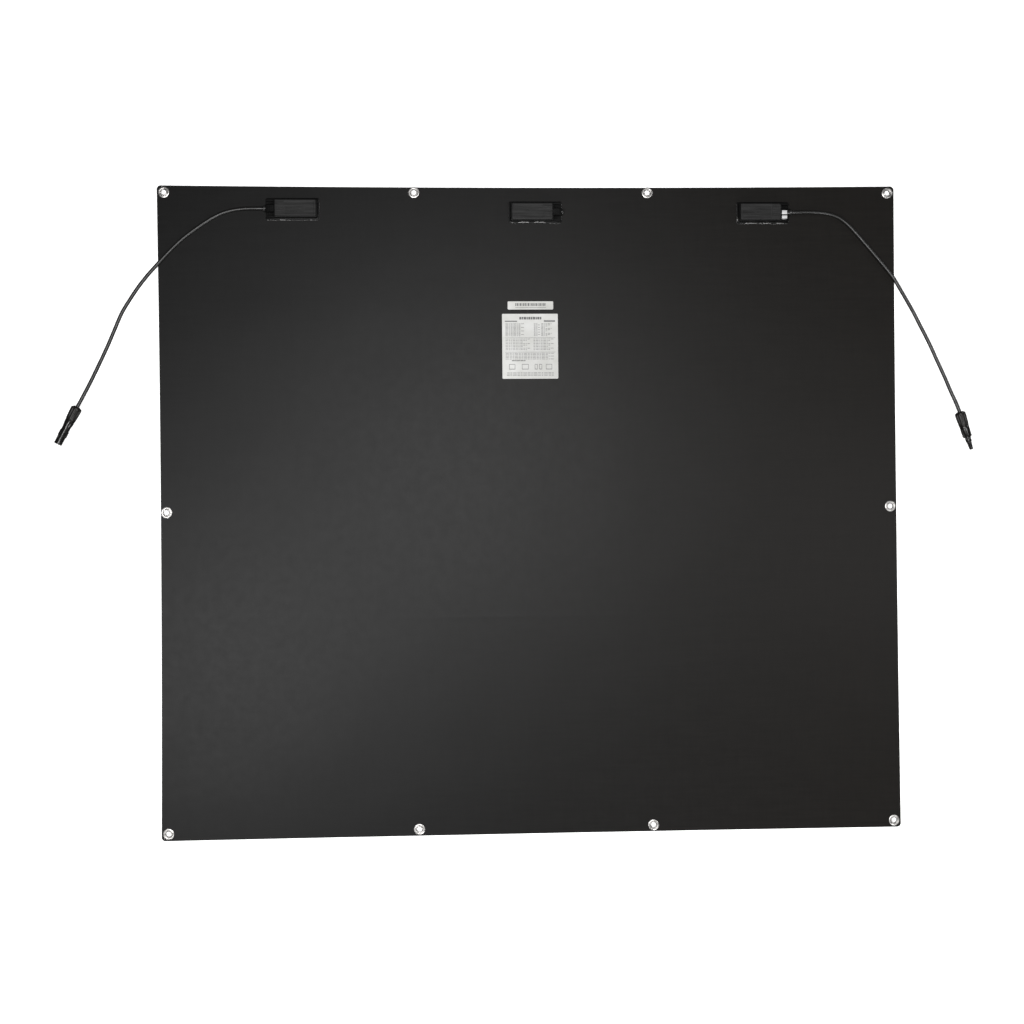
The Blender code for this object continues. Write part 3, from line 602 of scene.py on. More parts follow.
def add_lead(side):
    """A lead's jacket, as one curve with a round section."""
    points = [Vector(point) for point in ROUTES[side]]
    points.append(points[-1] + CONNECTOR_AXIS[side] * CABLE_INSET)
    even = smooth_route(points, CABLE_STEP)
    curve = bpy.data.curves.new(f"{side}_cable", "CURVE")
    curve.dimensions = "3D"
    curve.bevel_depth = CABLE_R * MM
    curve.bevel_resolution = 6
    curve.use_fill_caps = True
    spline = curve.splines.new("POLY")
    spline.points.add(len(even) - 1)
    for knot, point in zip(spline.points, even):
        knot.co = (*(point * MM), 1)
    spline.use_smooth = True
    return declare(placed(f"{side}_cable", curve), "jacket", f"{side}_lead")


# ---- the laminate
EYELET_MIDDLE = {name: middle_of(name) for name in sorted(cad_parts) if name.startswith("eyelet_")}
FILM_LOW, FILM_HIGH = millimetres("back_film")
LID_MIDDLE = {side: middle_of(f"{side}_box_lid") for side in SIDES}
BUS_Y = -middle_of("bottom_bus_ribbon_1").y
RISER_X = [m.x + sign * RIBBON_X for m in LID_MIDDLE.values() for sign in (-1, 1)]

FIXED = [(m.x, m.y, 0) for m in EYELET_MIDDLE.values()]  # places held flat: x, y, reach
FIXED += [(m.x, m.y, 45) for m in LID_MIDDLE.values()]
for label in ("rating_label", "serial_label"):
    label_low, label_high = millimetres(label)
    FIXED.append((*((label_low + label_high) / 2).xy, (label_high - label_low).length / 2))


def lift(x, y):
    """How far the laminate stands off its flat place: slow waves and one soft crease."""
    free = 1
    for place_x, place_y, reach in FIXED:
        away = hypot(x - place_x, y - place_y) - reach
        free = min(free, smoothstep(*FIXED_REACH, away))
    wave = noise.noise(Vector((x / 210, y / 170, 3.7))) + 0.5 * noise.noise(Vector((x / 95, y / 80, 9.1)))
    crease = 0.035 + 0.055 * exp(-(((x + 65) / 120) ** 2))
    ridge = crease * exp(-(((y - CREASE_Y) / 3) ** 2))
    return free * (max(-0.5, min(0.9, WAVE * wave)) + ridge)


def lines(low, high, special):
    """Grid lines with an even spacing, that give way to the special ones and the rim's."""
    rim = [low + d for d in RIM_LINES] + [high - d for d in RIM_LINES]
    special = {round(value, 3) for value in (*special, *rim, low, high)}
    even = spaced(low, high, round((high - low) / FILM_SPACING))
    kept = [value for value in even if min(abs(value - other) for other in special) > FILM_SPACING * 0.45]
    return sorted([*special, *kept])


def film_grid():
    """Grid lines of every film: they pass the eyelets, ribbon slots, crease and rim."""
    slot_x, slot_y = SLOT_HALF
    x_special = {round(m.x) + d for name, m in EYELET_MIDDLE.items() if "top" in name for d in HOLE_LINES}
    x_special |= {x + d for x in RISER_X for d in (-slot_x, slot_x)}
    y_special = {round(m.y, 1) + d for m in EYELET_MIDDLE.values() for d in HOLE_LINES}
    y_special |= {CREASE_Y + d for d in CREASE_LINES} | {BUS_Y - slot_y, BUS_Y + slot_y}
    return lines(FILM_LOW.x, FILM_HIGH.x, x_special), lines(FILM_LOW.y, FILM_HIGH.y, y_special)


GRID_X, GRID_Y = film_grid()


def shaped(x, y):
    """Moves a grid point to its place: round corners, sides that bow in, round eyelet holes."""
    high = FILM_HIGH
    for middle in EYELET_MIDDLE.values():
        dx, dy = x - middle.x, y - middle.y
        if max(abs(dx), abs(dy)) < HOLE_R + 0.8:
            length = hypot(dx, dy)
            return middle.x + dx / length * HOLE_R, middle.y + dy / length * HOLE_R
    r = SHEET_CORNER_R
    a, b = (abs(x) - high.x + r) / r, (abs(y) - high.y + r) / r
    if a > 0 and b > 0:
        a, b = a * sqrt(1 - b * b / 2), b * sqrt(1 - a * a / 2)
        return copysign(high.x - r + a * r, x), copysign(high.y - r + b * r, y)
    side_x = BORDER_IN["left" if x < 0 else "right"] * (1 - (y / high.y) ** 2)
    side_y = BORDER_IN["bottom" if y < 0 else "top"] * (1 - (x / high.x) ** 2)
    share_x = max(0, 1 - (high.x - abs(x)) / BORDER_DEPTH)
    share_y = max(0, 1 - (high.y - abs(y)) / BORDER_DEPTH)
    return x - copysign(side_x * share_x, x), y - copysign(side_y * share_y, y)


def add_film(node, finish, slotted=False, sealed=False):
    """One layer of the laminate on the shared grid, open at the eyelets and ribbon slots."""
    low_z, high_z = (corner.z for corner in millimetres(node))

    def place(i, j, top):
        x, y = shaped(GRID_X[i], GRID_Y[j])
        rim = min(FILM_HIGH.x - abs(GRID_X[i]), FILM_HIGH.y - abs(GRID_Y[j]))
        z = high_z if top else low_z
        if sealed and not top and rim > SEALED_RIM + 0.1:
            z = high_z - SEALED_SKIN
        return x, y, z + lift(x, y)

    slot_x, slot_y = SLOT_HALF
    kept = set()
    for i, x in enumerate((a + b) / 2 for a, b in zip(GRID_X, GRID_X[1:])):
        by_slot = slotted and any(abs(x - riser) < slot_x for riser in RISER_X)
        for j, y in enumerate((a + b) / 2 for a, b in zip(GRID_Y, GRID_Y[1:])):
            in_slot = by_slot and abs(y - BUS_Y) < slot_y
            if not in_slot and all(max(abs(x - m.x), abs(y - m.y)) >= HOLE_R for m in EYELET_MIDDLE.values()):
                kept.add((i, j))
    return build(f"{node}_sheet", shell(bmesh.new(), place, kept), finish, node)


def plate(bm, xs, ys, z_low, z_high, corner_cut=0):
    """A thin closed plate on a grid, on the laminate's waves, with its four corners cut off."""
    columns, rows = len(xs) - 1, len(ys) - 1

    def place(i, j, top):
        x, y = xs[i], ys[j]
        if i in (0, columns) and j in (0, rows):
            y += -corner_cut if j else corner_cut
        return x, y, (z_high if top else z_low) + lift(x, y)

    shell(bm, place, set(product(range(columns), range(rows))))


def add_cells():
    """Half-cut cells, and the round wires that join a column's cells."""
    low_z, high_z = (corner.z for corner in millimetres("cell_string_1"))
    for column in range(1, COLUMNS + 1):
        node = f"cell_string_{column}"
        middle = middle_of(node).x
        x_low, x_high = middle - CELL_W / 2, middle + CELL_W / 2
        xs = [x_low, x_low + CELL_CHAMFER, *spaced(x_low, x_high, 14)[1:-1], x_high - CELL_CHAMFER, x_high]
        cells, wires = bmesh.new(), bmesh.new()
        for cell in range(CELLS):
            y = (cell - (CELLS - 1) / 2) * CELL_PITCH
            plate(cells, xs, spaced(y - CELL_H / 2, y + CELL_H / 2, 7), low_z, high_z, CELL_CHAMFER)
        build(f"column_{column}_cells", cells, "cell", node)
        for wire in range(WIRES):
            x = middle + (wire - (WIRES - 1) / 2) * CELL_W / WIRES
            sides = [x - WIRE_W / 2, x + WIRE_W / 2]
            plate(wires, sides, spaced(-BUS_Y, BUS_Y, 72), low_z - 0.045, low_z - 0.005)
        build(f"column_{column}_wires", wires, "wire")


def add_buses():
    """Ribbons along the sheet's ends. Those by the boxes turn up at their ends, through the film."""
    for node in sorted(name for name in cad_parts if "_bus_ribbon_" in name):
        low, high = millimetres(node)
        level = low.z + 0.1
        path = [(x, level) for x in spaced(low.x, high.x, max(4, round((high.x - low.x) / 15)))]
        for x in RISER_X if node.startswith("top") else ():
            if low.x - 1 < x < high.x + 1:
                up = [(x, z) for z in (level + 1, level + 2.5, high.z - 0.5, high.z)]
                if abs(x - low.x) < 1:
                    path = up[::-1] + [(x + 0.15, level + 0.25)] + path[1:]
                else:
                    path = path[:-1] + [(x - 0.15, level + 0.25)] + up

        def hang(x, z):
            return lift(x, BUS_Y) * smoothstep(level + 0.6, level + 0.2, z)

        build(f"{node}_strip", strip(path, low.y, high.y, 0.1, hang), "ribbon", node)


def add_eyelets():
    """Rolled eyelets: domed flange, groove, and a lip that split as it was rolled."""
    top, film_top = millimetres("eyelet_left")[1].z, FILM_HIGH.z
    profile = [
        (3.8, 1.2), (3.8, 2.6), *arc((4.55, top - 0.75), 0.75, 185, 10, 7), (5.55, film_top + 0.22),
        *arc((6.75, top - 2.35), 2.05, 118, 50, 5), (8.22, film_top + 0.35), (8.15, film_top + 0.08),
        (4.85, film_top + 0.08), (4.85, 0.52), (8.1, 0.52), (8.25, 0.34), (7.7, 0.05), (5.6, 0), (4.5, 0.12),
        (3.9, 0.6),
    ]
    for number, (name, middle) in enumerate(EYELET_MIDDLE.items()):
        splits = [0.4 * number + 2 * pi * k / 6 for k in range(6)]
        tilt = 0.05 * sin(2.4 * number)
        rings = []
        for r, z in profile:
            ring = []
            for angle in around(64):
                height = z
                if z > film_top:
                    height += 0.04 * sin(3 * angle + number) + tilt * cos(angle + number)
                if 3.5 < r < 5.5 and z > film_top + 0.2:
                    gap = min(abs(remainder(angle - split, 2 * pi)) for split in splits)
                    height -= 0.28 * exp(-((gap / 0.07) ** 2))
                ring.append((middle.x + r * cos(angle), middle.y + r * sin(angle), max(0, height)))
            rings.append(ring)
        build(f"{name}_rolled", loft(bmesh.new(), rings, closed=True), "eyelet", name, sharp=60)


# ---- labels
def add_label(node, marks):
    """A label, and its print: plain bars and blocks given as shares of its width and height."""
    low, high = millimetres(node)
    size = high - low
    steps = ((0.04, low.z - 0.06), (0, low.z), (0, high.z - 0.05), (0.06, high.z))
    rings = [
        outline(low.x + inset, high.x - inset, size.y / 2 - inset, 1.5 - inset, z, (high.y + low.y) / 2)
        for inset, z in steps
    ]
    build(f"{node}_film", loft(bmesh.new(), rings), "label", node)
    for ink in sorted({mark[4] for mark in marks}):
        rows = [
            (low.x + x0 * size.x, low.x + x1 * size.x, high.y - y1 * size.y, high.y - y0 * size.y,
             high.z - 0.01, high.z + 0.02, 0)
            for x0, x1, y0, y1, tone in marks if tone == ink
        ]
        build(f"{node}_{ink}", blocks(bmesh.new(), *rows), ink)


def broken_row(x, x_high, y, height, widths, ink, gap=0.012):
    """Bars of the given widths side by side, like a printed row seen from afar."""
    marks = []
    for width in cycle(widths):
        if x + width >= x_high:
            return marks
        marks.append((x, x + width, y, y + height, ink))
        x += width + gap


RATING_ROWS = (  # how many, first y, step, x from, x to, shorter by this much in turns of so many, bars
    (11, 0.15, 0.0185, 0.06, 0.4, 0.03, 3, (0.05, 0.02, 0.034)),
    (11, 0.15, 0.0185, 0.57, 0.66, -0.02, 2, (0.03, 0.022)),
    (11, 0.15, 0.0185, 0.7, 0.92, 0.04, 4, (0.04, 0.016, 0.028)),
    (8, 0.385, 0.0235, 0.06, 0.5, 0.05, 3, (0.045, 0.03, 0.02)),
    (8, 0.385, 0.0235, 0.56, 0.94, 0.06, 3, (0.03, 0.05, 0.018)),
    (5, 0.605, 0.022, 0.06, 0.93, 0.1, 2, (0.06, 0.04, 0.025)),
    (3, 0.905, 0.02, 0.08, 0.94, 0, 1, (0.05, 0.03, 0.07)),
)


def rating_marks():
    marks = broken_row(0.31, 0.71, 0.048, 0.04, (0.035, 0.028, 0.045, 0.022), "ink", 0.008)
    marks += broken_row(0.17, 0.48, 0.715, 0.014, (0.05, 0.03, 0.06), "ink", 0.006)
    bars = [(0.05, 0.27, 0.106, 0.124), (0.75, 0.95, 0.1, 0.126)]
    bars += [(0.05, 0.95, 0.366, 0.371), (0.05, 0.95, 0.588, 0.593)]
    for x_low, width in ((0.12, 0.11), (0.35, 0.12), (0.58, 0.05), (0.66, 0.05), (0.78, 0.11)):
        x_high = x_low + width
        marks.append((x_low, x_high, 0.848, 0.857, "ink"))
        bars += [(x_low, x_high, 0.775, 0.783), (x_low, x_low + 0.008, 0.783, 0.848)]
        bars.append((x_high - 0.008, x_high, 0.783, 0.848))
    marks += [(*bar, "ink_grey") for bar in bars]
    for count, y, step, x_low, x_high, shorter, turns, widths in RATING_ROWS:
        for row in range(count):
            row_end = x_high - shorter * (row % turns)
            marks += broken_row(x_low, row_end, y + row * step, 0.008, widths, "ink_grey")
    return marks


def serial_marks():
    marks = broken_row(0.17, 0.86, 0.22, 0.34, (0.02, 0.026, 0.014, 0.03, 0.01), "ink", 0.014)
    return marks + [(0.17, 0.84, 0.74, 0.79, "ink_grey")]


# ---- junction boxes
def base(side):
    """Flange, walls and cavity in one skin, with prongs, the port's neck, ribs, snaps and posts."""
    rings = inset_rings(FLANGE, (0.5, 0), (0.1, 0.08), (0, 0.3), (0, 1), (0.12, 1.3), (0.4, 1.47), (0.9, 1.5))
    rings += inset_rings(
        WALL, (-0.9, 1.5), (-0.45, 1.62), (-0.15, 1.9), (0, 2.4), (0, 9), (0.08, 9.28), (0.35, 9.46),
        (0.7, WALL_TOP),
    )
    rings += inset_rings(
        CAVITY, (-0.5, WALL_TOP), (-0.1, 9.4), (0, 9.1), (0.15, 2.4), (0.4, 1.95), (0.9, 1.8),
    )
    trim = blocks(
        bmesh.new(), (32, 45.2, 11.4, 14, 0.9, 5.5, 0.25), (42.6, 45.4, 10.7, 13.8, 1.2, 5.9, 0.4),
        *((x - 0.55, x + 0.55, 13.8, 14.55, 1.4, 6.6, 0.12) for x in range(-27, 28, 9)),
        *((x - 2.6, x + 2.6, 13.7, 14.6, 7.2, 8.7, 0.3) for x in (-19.5, 16.5)),
        *((x - 1.4, x + 1.4, 8.8, 10.9, 1.5, 7.2, 0.2) for x in (-28.3, 28.3)), signs=(-1, 1),
    )
    blocks(trim, *((-33.5, -32.8, y - 0.55, y + 0.55, 1.4, 6.6, 0.1) for y in (-6.5, 0, 6.5)))
    blocks(trim, (-2.2, 2.2, -10.9, -9.4, 1.5, 5, 0.2))
    top = 7 if side == "right" else 9

    def port_ring(x, grow, foot=0.8):
        half = 6 + grow
        crown = [(y, min(z, top + grow)) for y, z in arc((0, PORT_Z), half, 0, 180, 12)]
        return [(x, y, z) for y, z in ((half, foot), *crown, (-half, foot))]

    neck = loft(bmesh.new(), [port_ring(*at) for at in ((31, 0), (45.3, 0), (45.9, -0.2), (46.2, -0.6))])
    for x in () if side == "right" else (35, 38, 41):
        loft(neck, [port_ring(x + dx, 0.25, 0.9) for dx in (-0.5, 0.5)])
    return absorb(loft(bmesh.new(), rings + level_cap(CAVITY, 0.9, 1.8)), soften(trim, 0.18), neck)


def lid():
    """Lid with a hollow skirt, rounded edge, raised border, grip lines and a gate mark."""
    rings = inset_rings(
        SKIRT, (1.5, 10.2), (1.25, 10.1), (1.2, 8.1), (1, 7.85), (0.3, 7.8), (0, 8.3), (0, LID_UNDER),
    )
    rings += inset_rings(
        LID, (0.25, LID_UNDER), (0, 10.05), (0, 11.15), (0.12, 11.55), (0.4, 11.88), (0.85, LID_TOP),
        (1.1, LID_TOP),
    )
    rings += inset_rings(PANEL, (-0.4, LID_TOP), (-0.1, LID_TOP), (0.15, 12.02), (0.4, 11.8), (0.8, 11.74))
    relief = blocks(
        bmesh.new(), *((18.6, 29.9, y - 0.6, y + 0.6, 11.9, 12.5, 0.22) for y in spaced(-7, 7, 5)),
        *((-26.2, 15.2, y - 0.35, y + 0.35, 11.6, 11.95, 0.12) for y in (-5.8, 0, 5.8)),
        (-31.25, -30.2, -3.2, 3.2, 10.2, 11, 0.15), (30.2, 31.25, -3.2, 3.2, 10.2, 11, 0.15),
    )
    gate = lathe([(11.5, 2.1), (12, 2.1), (12.08, 1.95), (12.08, 1.5), (11.86, 1.35), (11.86, 0.2)], 24)
    gate.transform(Matrix.Translation((-7, 0, 0)) @ Matrix.Rotation(radians(-90), 4, "Y"))
    return absorb(loft(bmesh.new(), rings + level_cap(PANEL, 0.8, 11.74)), soften(relief, 0.14), gate)


def bead(inward, swells, seed):
    """Sealant squeezed out round a flange: a thin line, with swells that climb over it."""
    x_low, x_high, half_y, radius = FLANGE
    ring = outline(x_low, x_high, half_y, radius + 0.5, -0.3, steps=6)
    centres = []
    for a, b in zip(ring, ring[1:] + ring[:1]):
        pieces = max(1, round((b - a).length / 0.8))
        centres += [a.lerp(b, k / pieces) for k in range(pieces)]
    middle = Vector(((x_low + x_high) / 2, 0, -0.3))
    sizes, moved = [], []
    for point in centres:
        size = 0.28 + 0.12 * noise.noise(Vector((point.x / 5, point.y / 5, seed)))
        lump = 1 + 0.25 * noise.noise(Vector((point.x / 3.5, point.y / 3.5, seed + 5)))
        for x, y, reach, swell in swells:
            size += lump * swell * exp(-(((point.x - x) / reach) ** 4) - (((point.y - y) / 4.5) ** 4))
        out = ((point - middle) * Vector((0.35, 1, 0))).normalized()
        climb = max(0, size - 0.4)
        moved.append(point - out * (climb * inward) + UP * (0.1 + climb * 1.2))
        sizes.append(size)
    bm = tube(moved, sizes, 16, closed=True, flat=0.8)
    for vert in bm.verts:
        vert.co.z = max(vert.co.z, -0.28)
    return bm


def gland(side):
    """What fills the cable port: a collar for a lead, or a blank plug in the middle box."""
    if side == "middle":
        dome = [(47.6 + 2 * sin(t), 0.4 + 4.3 * cos(t)) for t in spaced(0, 1.45, 6)]
        head = [(46.5, 4.7), *dome, (49, 1.9), (48.2, 1.8), (48.2, 0.3)]
    else:
        head = [(46.5, 4.6), (46.8, 4.75), (47.6, 4.75), (47.9, 4.35), (48.3, 4.35), (48.6, 4.55)]
        head += [(49.1, 4.5), (49.5, 4), (49.6, 3)]
    return lathe([(30.5, 3.7), (46.4, 4), *head], 40)


def clamp():
    """Two blocks on the right box's port, joined lower down; their pale colour is a painted highlight."""
    rows = ((33.6, 42, -3.7, 2.7, 1.7, 9, 0.3), (33.6, 42, -10.3, -5.3, 1.7, 9.3, 0.3))
    joint = ((34.5, 41.1, -5.7, -3.3, 1.7, 6.4, 0.1), (35.7, 39.9, -10.8, -10.1, 2.6, 7.4, 0.2))
    return soften(blocks(bmesh.new(), *rows, *joint), 0.35, 2)


def terminal(sign):
    path = [(13.5, 6.6), (13.5, 3.1), *arc((14.1, 3.1), 0.6, 180, 270, 4), (24, 2.5)]
    bm = strip(path, -8, 7.5, 0.4)
    bm.transform(Matrix.Diagonal((sign, 1, 1, 1)))
    return soften(bm, 0.12)


def solder(ribbon_y):
    """Lumps where the ribbons and the diode's legs meet the terminals."""
    bm = bmesh.new()
    for sign, (y, size) in product((-1, 1), ((ribbon_y, 1), (-4.5, 0.75))):
        rings = []
        for height, share in ((-1, 0.2), (-0.8, 0.75), (-0.2, 1), (0.5, 0.8), (0.95, 0.3)):
            middle = Vector((sign * 12.75, y, 5.9 + height * 0.7))
            reach = Vector((0.62, 2.6 * size, 0)) * share
            rings.append([middle + reach * Vector((cos(t), sin(t), 0)) for t in around(14)])
        loft(bm, rings)
    return bm


DIODE = [
    (-12.6, 0.3), (-12.6, 0.58), (-5.1, 0.58), (-5, 1.1), (-4.6, 1.2), (-4.5, 3.1), (-4.2, 3.4), (-2.9, 3.5),
    (-2.85, 3.42), (-2.2, 3.42), (-2.15, 3.5), (4.2, 3.4), (4.5, 3.1), (4.6, 1.2), (5, 1.1), (5.1, 0.58),
    (12.6, 0.58), (12.6, 0.3),
]


def potting(seed):
    """The gel in the cavity, that creeps up its walls."""
    half_x, half_y = POTTING
    xs, ys = spaced(-half_x, half_x, 30), spaced(-half_y, half_y, 12)

    def place(i, j, top):
        x, y = xs[i], ys[j]
        creep = 0.5 * exp(-min(half_x - abs(x), half_y - abs(y)) / 0.9)
        ripple = 0.1 * noise.noise(Vector((x / 6, y / 6, seed)))
        return x, y, 2.02 + creep + ripple if top else 1.82

    return shell(bmesh.new(), place, set(product(range(30), range(12))))


def add_box(side, number):
    """A junction box's pieces, outside and inside."""
    middle = LID_MIDDLE[side]
    foot = millimetres(f"{side}_box_base")[0].z
    place = Matrix.Translation((middle.x, middle.y, foot)) @ Matrix.Diagonal((SIDES[side], 1, 1, 1))

    def piece(name, bm, finish, node=None, body="sheet", sharp=40, at=(0, 0, 0)):
        spot = place @ Matrix.Translation(at)
        build(f"{side}_{name}", bm, finish, node and f"{side}_{node}", body, spot, sharp)

    piece("base_shell", base(side), "box", "box_base")
    piece("lid_shell", lid(), "lid", "box_lid", f"{side}_lid")
    name, node = GLANDS[side]
    piece(name, gland(side), "plug", node, at=(0, 0, PORT_Z))
    if side == "right":
        piece("clamp_block", clamp(), "clamp", "cable_gland")
    piece("sealant_bead", bead(*SWELLS[side], 11 + 7 * number), "sealant", sharp=80)
    for end, sign in (("a", -1), ("b", 1)):
        piece(f"terminal_strip_{end}", terminal(sign), "copper", f"box_terminal_{end}")
    piece("solder_joints", solder(BUS_Y - middle.y), "solder", sharp=70)
    piece("diode_body", lathe(DIODE, 32), "diode", "bypass_diode", at=(0, -4.5, 6))
    piece("potting", potting(5 + middle.x), "potting")
    if side != "middle":
        core = ((30.6, 0, 5), (28.5, 0, 4.9), (26, 0.3, 4.2), (23.5, 0.6, 3.6), (20, 0.8, 3.5))
        core = tube([Vector(point) for point in core], (1.1, 1.1, 1.1, 1.05, 0.9), 14)
        piece("lead_core", core, "ribbon")


# ---- connectors
def nut():
    """Compression nut with grip flutes, a waist and a chamfered back."""
    def fluted(x, radius, angle):
        depth = smoothstep(2, 4, x) * smoothstep(21.2, 19.2, x)
        groove = max(0, cos(10 * angle)) ** 0.7
        return radius - 0.75 * depth * groove if radius > 6.4 else radius

    profile = [
        (0, 3.05), (0, 4.7), (0.2, 5.2), (0.7, 5.5), (1.2, 6.6), (1.7, 7.4), (2.4, 7.9), (3.4, 8.15),
        (4.6, 8.2), (7, 8.2), (12, 8), (16, 7.8), (20, 7.55), (21, 7.5), (21.3, 7.25), (21.7, 7.2),
        (22, 7.45), (22.7, 7.4), (23, 7.1), (23, 6), (4, 6), (4, 3.05),
    ]
    return lathe(profile, 120, closed=True, shape=fluted)


def seal():
    """Sealing sleeve with ridges, round the cable inside the nut."""
    profile = [(4.3, 3.05), (4.3, 4)]
    for x in spaced(4.9, 12.1, 4):
        profile += [(x, 4), (x + 0.4, 4.2), (x + 0.9, 4.2), (x + 1.3, 4)]
    return lathe(profile + [(14, 4), (14, 3.05)], 36, closed=True)


THREADED_TAIL = [(6.5, 4.5), (6.5, 5.3)]
for thread_x in spaced(7.1, 19.1, 8):
    THREADED_TAIL += [(thread_x, 5.3), (thread_x + 0.4, 5.68), (thread_x + 0.8, 5.68), (thread_x + 1.2, 5.3)]
THREADED_TAIL += [(23.2, 5.5), (23.3, 6.9), (23.6, 7.1)]


def left_body():
    """Gripped collar, long open shell and the frames of its two latch windows."""
    def gripped(x, radius, angle):
        grip = 0.035 if 23.3 < x < 28.5 and radius > 6.5 else 0
        return radius * (1 - grip * max(0, cos(6 * angle)))

    profile = [
        *THREADED_TAIL, (27.2, 7.1), (28, 7), (30.5, 6.55), (33, 6.2), (34, 6.05), (40, 6), (56, 5.95),
        (60.6, 5.95), (60.9, 6.05), (62.9, 6.05), (63.3, 5.95), (63.5, 5.7), (63.5, 5.15), (63.2, 4.95),
        (38, 4.9), (38, 2.3), (27, 2.3), (27, 4.5),
    ]
    trim = bmesh.new()
    for y in (-2.7, 2.7):
        blocks(trim, *((37.5, 58.5, y - 0.3, y + 0.3, z, z + 0.85, 0.1) for z in (-5.75, 4.9)))
    blocks(
        trim, *((41, 50, 4.6, 6.15, z - 0.35, z + 0.35, 0.1) for z in (-3.1, 3.1)),
        (49.3, 50.4, 5.4, 6.35, -3.1, 3.1, 0.15), (40.6, 41.5, 5.4, 6.35, -3.1, 3.1, 0.15), signs=(-1, 1),
    )
    return absorb(lathe(profile, 72, closed=True, shape=gripped), soften(trim, 0.1))


def right_body():
    """Collar, two cheeks beside the latch fingers, ribbed core and the mating probe."""
    profile = [
        *THREADED_TAIL, (25.2, 7.1), (25.4, 6.8), (26, 6.8), (26.2, 7.1), (27, 7), (27.2, 6.6), (27.2, 3.2),
        (42, 3.2), (42.1, 4.1), (42.7, 4.2), (42.9, 3.5), (44.1, 3.5), (44.3, 4.3), (44.7, 4.5), (48.6, 4.4),
        (49, 4.1), (49.1, 3.6), (52.5, 3.45), (53.4, 3.2), (59.6, 2.95), (60.9, 2.8), (61.4, 2.6),
        (61.5, 2.3), (24.5, 2.3), (24.5, 4.5),
    ]
    cheek = [(27, 3.3), (27, 7), (30, 6.9), (35, 6.4), (39, 5.9), (41.2, 5.5), (41.9, 5.1), (42, 4.6)]
    cheek += [(42, 3.9), (40, 3.3)]
    bm = lathe(profile, 64, closed=True)
    for middle in (pi / 2, -pi / 2):
        turns = spaced(middle - 0.82, middle + 0.82, 18)
        loft(bm, [[(x, r * cos(t), r * sin(t)) for x, r in cheek] for t in turns])
    return bm


def finger(sign):
    """A sprung latch finger with a hooked, ribbed end."""
    side_view = [(27.5, 4.3), (34, 4.3), (41.2, 4.3), (41.5, 4.6), (41.5, 5.2), (40.4, 5.9), (38.7, 6.9)]
    side_view += [(38.2, 6.9), (38, 6.1), (33, 6.4), (27.5, 6.6)]
    rings = [[(u, sign * v, z) for u, v in side_view] for z in (-2.85, 2.85)]
    ridges = [(x, x + 0.7, 6.3, 6.75, -2.4, 2.4, 0.12) for x in (30.2, 31.7, 33.2, 34.7)]
    return absorb(soften(loft(bmesh.new(), rings), 0.22, 2), blocks(bmesh.new(), *ridges, signs=(sign,)))


CRIMP = [(16, 1.6), (16, 2.4), (16.4, 2.6), (17.8, 2.6), (18.3, 2.2), (19.2, 2.2), (19.7, 2.6)]
PIN = [  # crimped, with a round tip
    *CRIMP, (21, 2.6), (21.5, 2.2), (22.4, 2.2), (22.9, 2.6), (25, 2.5), (25.1, 2), (39.5, 2), (39.7, 1.85),
    (40.2, 1.85), (40.4, 2), (53.2, 2), (54.2, 1.75), (54.8, 1.3), (55, 0.6),
]
SLEEVE = [  # crimped, with an open end for the pin
    *CRIMP, (23.6, 2.6), (24, 2), (46, 2), (46.2, 1.85), (47, 1.85), (47.2, 2), (60.1, 2), (60.4, 1.8),
    (60.4, 1.6), (60.1, 1.5), (48.5, 1.5), (48.5, 0.3),
]
RING_SECTION = [(43.5 + 0.7 * cos(t), 4.2 + 0.7 * sin(t)) for t in around(14)]


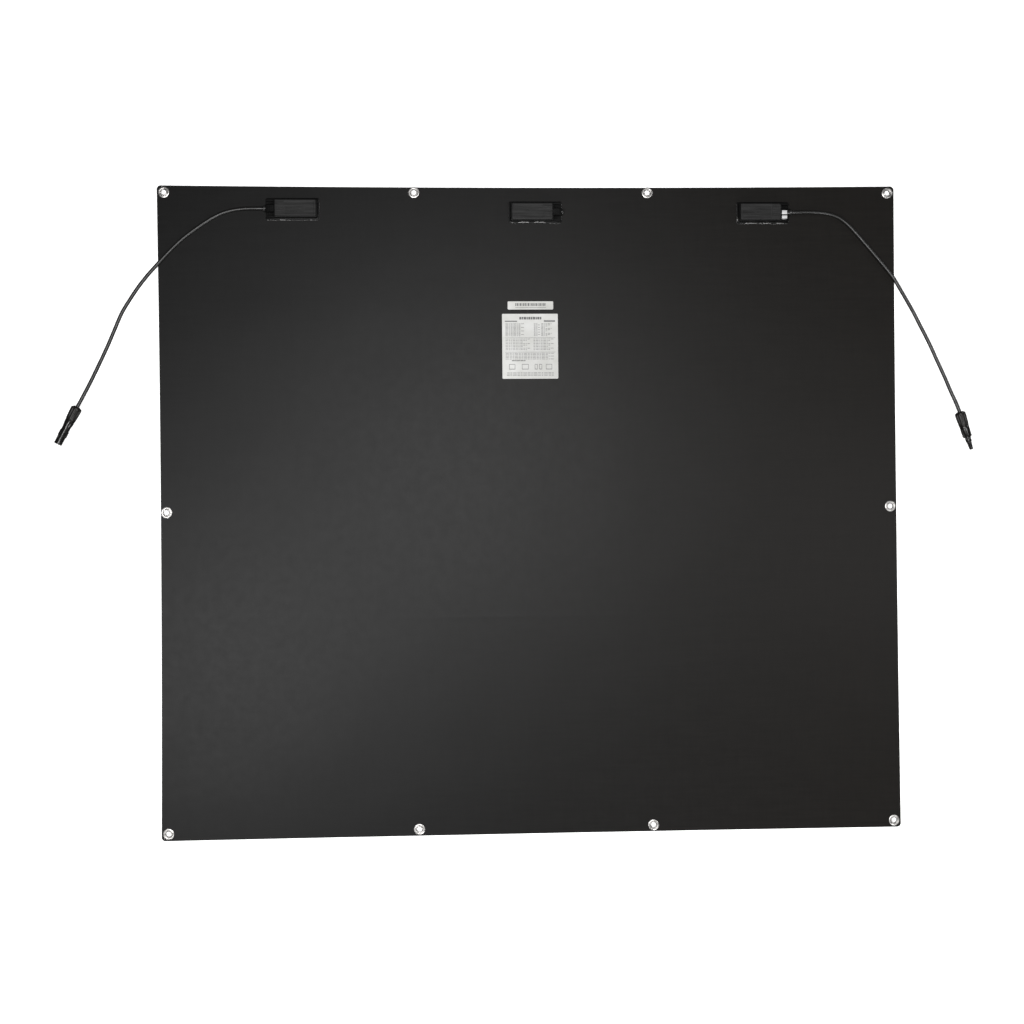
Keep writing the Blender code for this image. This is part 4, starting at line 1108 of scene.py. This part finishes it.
def add_connectors():
    """Both connectors' pieces, by side; those of a moving body ride on it."""
    pieces = {side: [] for side in ROUTES}

    def piece(side, name, bm, finish, node, body="sheet", sharp=40):
        axis = CONNECTOR_AXIS[side]
        place = Matrix.Translation(ROUTES[side][-1]) @ Matrix.Rotation(atan2(axis.y, axis.x), 4, "Z")
        pieces[side].append(build(name, bm, finish, f"{side}_{node}", body, place, sharp))

    for side in ROUTES:
        piece(side, f"{side}_nut_shell", nut(), "nut", "cap_nut", f"{side}_nut", 50)
        piece(side, f"{side}_seal_sleeve", seal(), "rubber", "cable_seal", f"{side}_seal")
    piece("left", "left_contact_pin", lathe(PIN, 36), "ribbon", "contact")
    piece("right", "right_contact_sleeve", lathe(SLEEVE, 36), "ribbon", "contact")
    piece("left", "left_connector_shell", left_body(), "connector", "connector_body")
    piece("right", "right_connector_shell", right_body(), "connector", "connector_body")
    piece("right", "right_seal_ring", lathe(RING_SECTION, 48, closed=True), "rubber", "o_ring", sharp=80)
    for body, sign in (("latch_finger_a", 1), ("latch_finger_b", -1)):
        piece("right", f"{body}_hook", finger(sign), "connector", body, body)
    return pieces


# ---- room
def add_room():
    """A pale floor and soft lamps; the largest lamp's sheen falls on the sheet's left half."""
    look = Look("floor_pale", shine=0.1, Emission_Color=(1, 1, 1, 1), Emission_Strength=0.34)
    look.finish(look.between(look.noise(600), grey(0.86), grey(0.88)), (look.noise(40), 0.75, 0.85))
    bm = bmesh.new()
    bmesh.ops.create_grid(bm, x_segments=8, y_segments=8, size=14)
    bm.transform(Matrix.Translation((0, 0, -0.0003)))
    floor = placed("floor", mesh_of(bm, "floor"))
    floor.data.materials.append(look.material)
    floor.visible_glossy = False
    world = bpy.data.worlds.new("studio")
    world.use_nodes = True
    background = world.node_tree.nodes["Background"]
    background.inputs["Color"].default_value = (1, 1, 1, 1)
    background.inputs["Strength"].default_value = 0.1
    bpy.context.scene.world = world
    lamps = (
        ("main_lamp", (-0.08, 0.16, 2.3), (0.96, 0.96), 38),
        ("left_lamp", (-0.87, -0.46, 2.3), (0.5, 0.5), 31),
        ("right_lamp", (1.35, -0.1, 2.3), (0.52, 0.52), 11),
        ("front_rim_lamp", (0.85, -2.2, 1.45), (1, 1.1), 40),
        ("side_rim_lamp", (2.6, 1.3, 1.3), (0.6, 0.6), 14),
    )
    for name, place, size, power in lamps:
        data = bpy.data.lights.new(name, "AREA")
        data.shape = "ELLIPSE"
        data.size, data.size_y = size
        data.energy = power
        lamp = placed(name, data)
        lamp.location = place
        lamp.rotation_euler = (-Vector(place)).to_track_quat("-Z", "Y").to_euler()
    bpy.context.scene.view_settings.view_transform = "Standard"


# ---- putting it together
add_camera()
leads = {side: add_lead(side) for side in ROUTES}
add_room()

add_film("front_film", "front_film")
add_film("front_encapsulant", "encapsulant")
add_film("rear_encapsulant", "encapsulant", slotted=True, sealed=True)
back_sheet = add_film("back_film", "back_film", slotted=True)
add_cells()
add_buses()
add_eyelets()
add_label("rating_label", rating_marks())
add_label("serial_label", serial_marks())

for number, box_side in enumerate(SIDES):
    add_box(box_side, number)

connectors = add_connectors()
